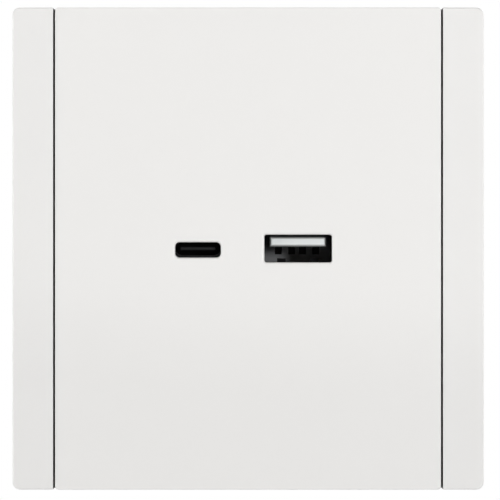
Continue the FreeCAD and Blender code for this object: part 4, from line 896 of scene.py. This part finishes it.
# %% The winding's tree and the choke's turns
WINDING_LENGTH = 5.2 * MM
winding_inputs = {
    "Winding radius": (LENGTH, 2.7 * MM),
    "Wire radius": (LENGTH, 0.16 * MM),
    "Winding length": (LENGTH, WINDING_LENGTH),
    "Turns": (LENGTH, 16.0),
    "Finish": (MATERIAL, None),
}
winding_tree, given, result = geometry_tree("wire_on_a_spool", winding_inputs)
tree = winding_tree
spool = given["Winding radius"]
helix = made(
    tree,
    "GeometryNodeCurveSpiral",
    Resolution=28, Rotations=given["Turns"], Start_Radius=spool, End_Radius=spool,
    Height=given["Winding length"],
)
wire = made(tree, "GeometryNodeCurvePrimitiveCircle", Resolution=8, Radius=given["Wire radius"])
wound = made(tree, "GeometryNodeCurveToMesh", Curve=helix, Profile_Curve=wire, Fill_Caps=True)
finish_tree(tree, at_places(tree, given, wound, (math.pi / 2, 0.0, 0.0)), given, result)


def middle_of(name):
    low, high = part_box(name)
    return [(a + b) / 2 for a, b in zip(low, high)]


x, y, z = middle_of("mains_choke")
start = (x, y + WINDING_LENGTH / 2, z)
values = {"Winding length": WINDING_LENGTH, "Finish": finishes["choke_wire"]}
choke_turns = grow("choke_turns", winding_tree, [start], values)
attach(choke_turns, "socket")

# %% [markdown]
# ## Chip resistors and solder joints
#
# The boards carry rows of chip resistors, which are tiny bricks with tinned ends, and every leaded component
# ends in a cone of solder behind the main board. The brick is a cube whose creased edges are subdivided, so
# that its corners are slightly soft. The solder cone is a frustum round the cut end of the lead.

# %% The brick's tree
BRICK_LENGTH = 1.6 * MM
BRICK_HEIGHT = 0.45 * MM
BRICK_WIDTH = 0.8 * MM
brick_inputs = {
    "Size": (VECTOR, (BRICK_LENGTH, BRICK_HEIGHT, BRICK_WIDTH)),
    "Finish": (MATERIAL, None),
}
brick_tree, given, result = geometry_tree("soft_edged_brick", brick_inputs)
cube = made(brick_tree, "GeometryNodeMeshCube", Size=given["Size"])
soft = made(brick_tree, "GeometryNodeSubdivisionSurface", Mesh=cube, Level=2, Edge_Crease=0.85)
finish_tree(brick_tree, at_places(brick_tree, given, soft), given, result)

# %% Resistors behind the port board
BOARD_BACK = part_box("port_board")[1][1]
END_WIDTH = 0.3 * MM
COLUMNS = (-4.5, -1.5, 1.5, 4.5)
LEVELS = (-10.0, -8.0, -6.0, 7.0, 9.0)
brick_places = [(x * MM, BOARD_BACK + BRICK_HEIGHT / 2, z * MM) for x in COLUMNS for z in LEVELS]
body_size = (BRICK_LENGTH - END_WIDTH, 0.94 * BRICK_HEIGHT, 0.95 * BRICK_WIDTH)
values = {"Size": body_size, "Finish": finishes["chip_epoxy"]}
bodies = grow("chip_resistor_bodies", brick_tree, brick_places, values)
reach = (BRICK_LENGTH - END_WIDTH) / 2
end_places = [(x + side * reach, y, z) for x, y, z in brick_places for side in (-1, 1)]
values = {"Size": (END_WIDTH, BRICK_HEIGHT, BRICK_WIDTH), "Finish": finishes["spring_steel"]}
ends = grow("chip_resistor_ends", brick_tree, end_places, values)
for piece, slot in ((bodies, "chip_epoxy"), (ends, "spring_steel")):
    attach(piece, "socket")

# %% Solder behind the main board
joint_inputs = {
    "Foot radius": (LENGTH, 0.75 * MM),
    "Lead radius": (LENGTH, 0.3 * MM),
    "Height": (LENGTH, 0.7 * MM),
    "Finish": (MATERIAL, None),
}
LEAD_SHARE = 1.5
LEAD_LIFT = 0.76

joint_tree, given, result = geometry_tree("solder_joint", joint_inputs)
tree = joint_tree
foot = made(
    tree,
    "GeometryNodeMeshCone",
    Vertices=16, Side_Segments=3, Radius_Top=given["Lead radius"], Radius_Bottom=given["Foot radius"],
    Depth=given["Height"],
)
lead_length = mathematics(tree, "MULTIPLY", given["Height"], LEAD_SHARE)
lead = made(tree, "GeometryNodeMeshCylinder", Vertices=12, Radius=given["Lead radius"], Depth=lead_length)
lift = along_z(tree, mathematics(tree, "MULTIPLY", given["Height"], LEAD_LIFT))
joint = joined(tree, foot, moved(tree, lead, Translation=lift))
finish_tree(tree, at_places(tree, given, joint, (-math.pi / 2, 0.0, 0.0)), given, result)

MAIN_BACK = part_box("main_board")[1][1]
lead_spreads = {
    "primary_capacitor_1": 1.75,
    "primary_capacitor_2": 1.75,
    "film_capacitor": 3.75,
    "mains_choke": 1.5,
    "fuse_resistor": 0.6,
    "transformer_bobbin": 3.8,
}
joint_places = []
for name, spread in lead_spreads.items():
    x, _, z = middle_of(name)
    joint_places += [(x + side * spread * MM, MAIN_BACK, z) for side in (-1, 1)]
joints = grow("solder_joints", joint_tree, joint_places, {"Finish": finishes["spring_steel"]})
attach(joints, "socket")

# %% [markdown]
# ## Marks of the mould behind the frame
#
# Turned over, the frame shows how it was made: each ejector pin leaves a faint round mark in the bottom of a
# hollow. A mark is a thin ring of plastic, swept along a circle, and a tree puts one at each place.

# %% Ejector marks
mark_inputs = {
    "Mark radius": (LENGTH, 1.3 * MM),
    "Rim radius": (LENGTH, 0.06 * MM),
    "Finish": (MATERIAL, None),
}
mark_tree, given, result = geometry_tree("ejector_mark", mark_inputs)
tree = mark_tree
rim = made(tree, "GeometryNodeCurvePrimitiveCircle", Resolution=32, Radius=given["Mark radius"])
bead = made(tree, "GeometryNodeCurvePrimitiveCircle", Resolution=6, Radius=given["Rim radius"])
mark = made(tree, "GeometryNodeCurveToMesh", Curve=rim, Profile_Curve=bead)
finish_tree(tree, at_places(tree, given, mark, (math.pi / 2, 0.0, 0.0)), given, result)

STRIP_HOLLOW = 39.25
STRIP_FLOOR = -7.0
STRIP_MARKS = (-33, -11, 11, 33)
RAIL_HOLLOW = 40.4
RAIL_FLOOR = -3.0
RAIL_MARKS = (-26.6, -8.9, 8.9, 26.6)
mark_spots = [(side * STRIP_HOLLOW, STRIP_FLOOR, z) for side in (-1, 1) for z in STRIP_MARKS]
mark_spots += [(x, RAIL_FLOOR, side * RAIL_HOLLOW) for side in (-1, 1) for x in RAIL_MARKS]
mark_places = [[value * MM for value in spot] for spot in mark_spots]
ejector_marks = grow("ejector_marks", mark_tree, mark_places, {"Finish": finishes["frame_white"]})
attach(ejector_marks, "socket")

# %% [markdown]
# ## Terminal letters and the strip gauge
#
# The electrician needs two things on the back: which hole takes which wire, and how far to strip it. Both are
# a little proud of the face, in a tone that stands out. The letters are flat outlines pushed out to a thin
# solid, turned so that they read from behind. The gauge is a bar as long as the bare wire should be, with a
# tick at each end.

# %% Helper: outlines raised from a face that looks to the back
THICKNESS = 0.12 * MM
SUNK_BY = 0.02 * MM


def raised(name, outlines, back, slot):
    """Outlines are lists of (x, z) in millimetres, each pushed out of the face at the depth `back`."""
    vertices = []
    polygons = []
    for outline in outlines:
        count = len(outline)
        first = len(vertices)
        for depth in (back - SUNK_BY, back - SUNK_BY + THICKNESS):
            vertices += [(x * MM, depth, z * MM) for x, z in outline]
        polygons.append([first + i for i in range(count)])
        polygons.append([first + count + i for i in reversed(range(count))])
        for i in range(count):
            following = (i + 1) % count
            polygons.append([first + following, first + i, first + count + i, first + count + following])
    mesh = bpy.data.meshes.new(name)
    mesh.from_pydata(vertices, [], polygons)
    shape = bmesh.new()
    shape.from_mesh(mesh)
    bmesh.ops.recalc_face_normals(shape, faces=shape.faces)
    shape.to_mesh(mesh)
    shape.free()
    mesh.materials.append(finishes[slot])
    piece = bpy.data.objects.new(name, mesh)
    scene.collection.objects.link(piece)
    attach(piece, "socket")
    print(name, "has", len(mesh.polygons), "faces")


# %% A letter above each wire hole
LETTER_HEIGHT = 1.5
LETTER_WIDTH = 1.0
LETTER_RISE = 2.3
STROKE = 0.28
SLANT = 0.95

letter_l = [(0, 0), (LETTER_WIDTH, 0), (LETTER_WIDTH, STROKE)]
letter_l += [(STROKE, STROKE), (STROKE, LETTER_HEIGHT), (0, LETTER_HEIGHT)]
letter_n = [(0, 0), (STROKE, 0), (STROKE, SLANT), (LETTER_WIDTH - STROKE, 0), (LETTER_WIDTH, 0)]
letter_n += [(LETTER_WIDTH - x, LETTER_HEIGHT - z) for x, z in letter_n]
letter_of = {"line": letter_l, "neutral": letter_n}

outlines = []
for mount in frame["record"]["mounts"]:
    pole, *kind = mount["name"].split("_")
    if pole in letter_of and "wire" in kind:
        x, _, z = [value / MM for value in mount["pos_m"]]
        start, level = x + LETTER_WIDTH / 2, z + LETTER_RISE
        outlines.append([(start - across, level + up) for across, up in letter_of[pole]])
block_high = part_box("terminal_block")[1]
raised("terminal_letters", outlines, block_high[1], "white_insulator")

# %% The gauge above the terminal block
GAUGE_LENGTH = 10.0
GAUGE_RISE = 1.4
GAUGE_LINE = 0.3
TICK_HEIGHT = 1.6


def rectangle(x, z, width, height):
    """The corners of a rectangle round its middle."""
    return [(x + i * width / 2, z + j * height / 2) for i, j in ((-1, -1), (1, -1), (1, 1), (-1, 1))]


level = block_high[2] / MM + GAUGE_RISE
gauge = [rectangle(0, level, GAUGE_LENGTH, GAUGE_LINE)]
gauge += [rectangle(side * GAUGE_LENGTH / 2, level, GAUGE_LINE, TICK_HEIGHT) for side in (-1, 1)]
raised("strip_gauge", gauge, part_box("rear_housing")[1][1], "terminal_plastic")
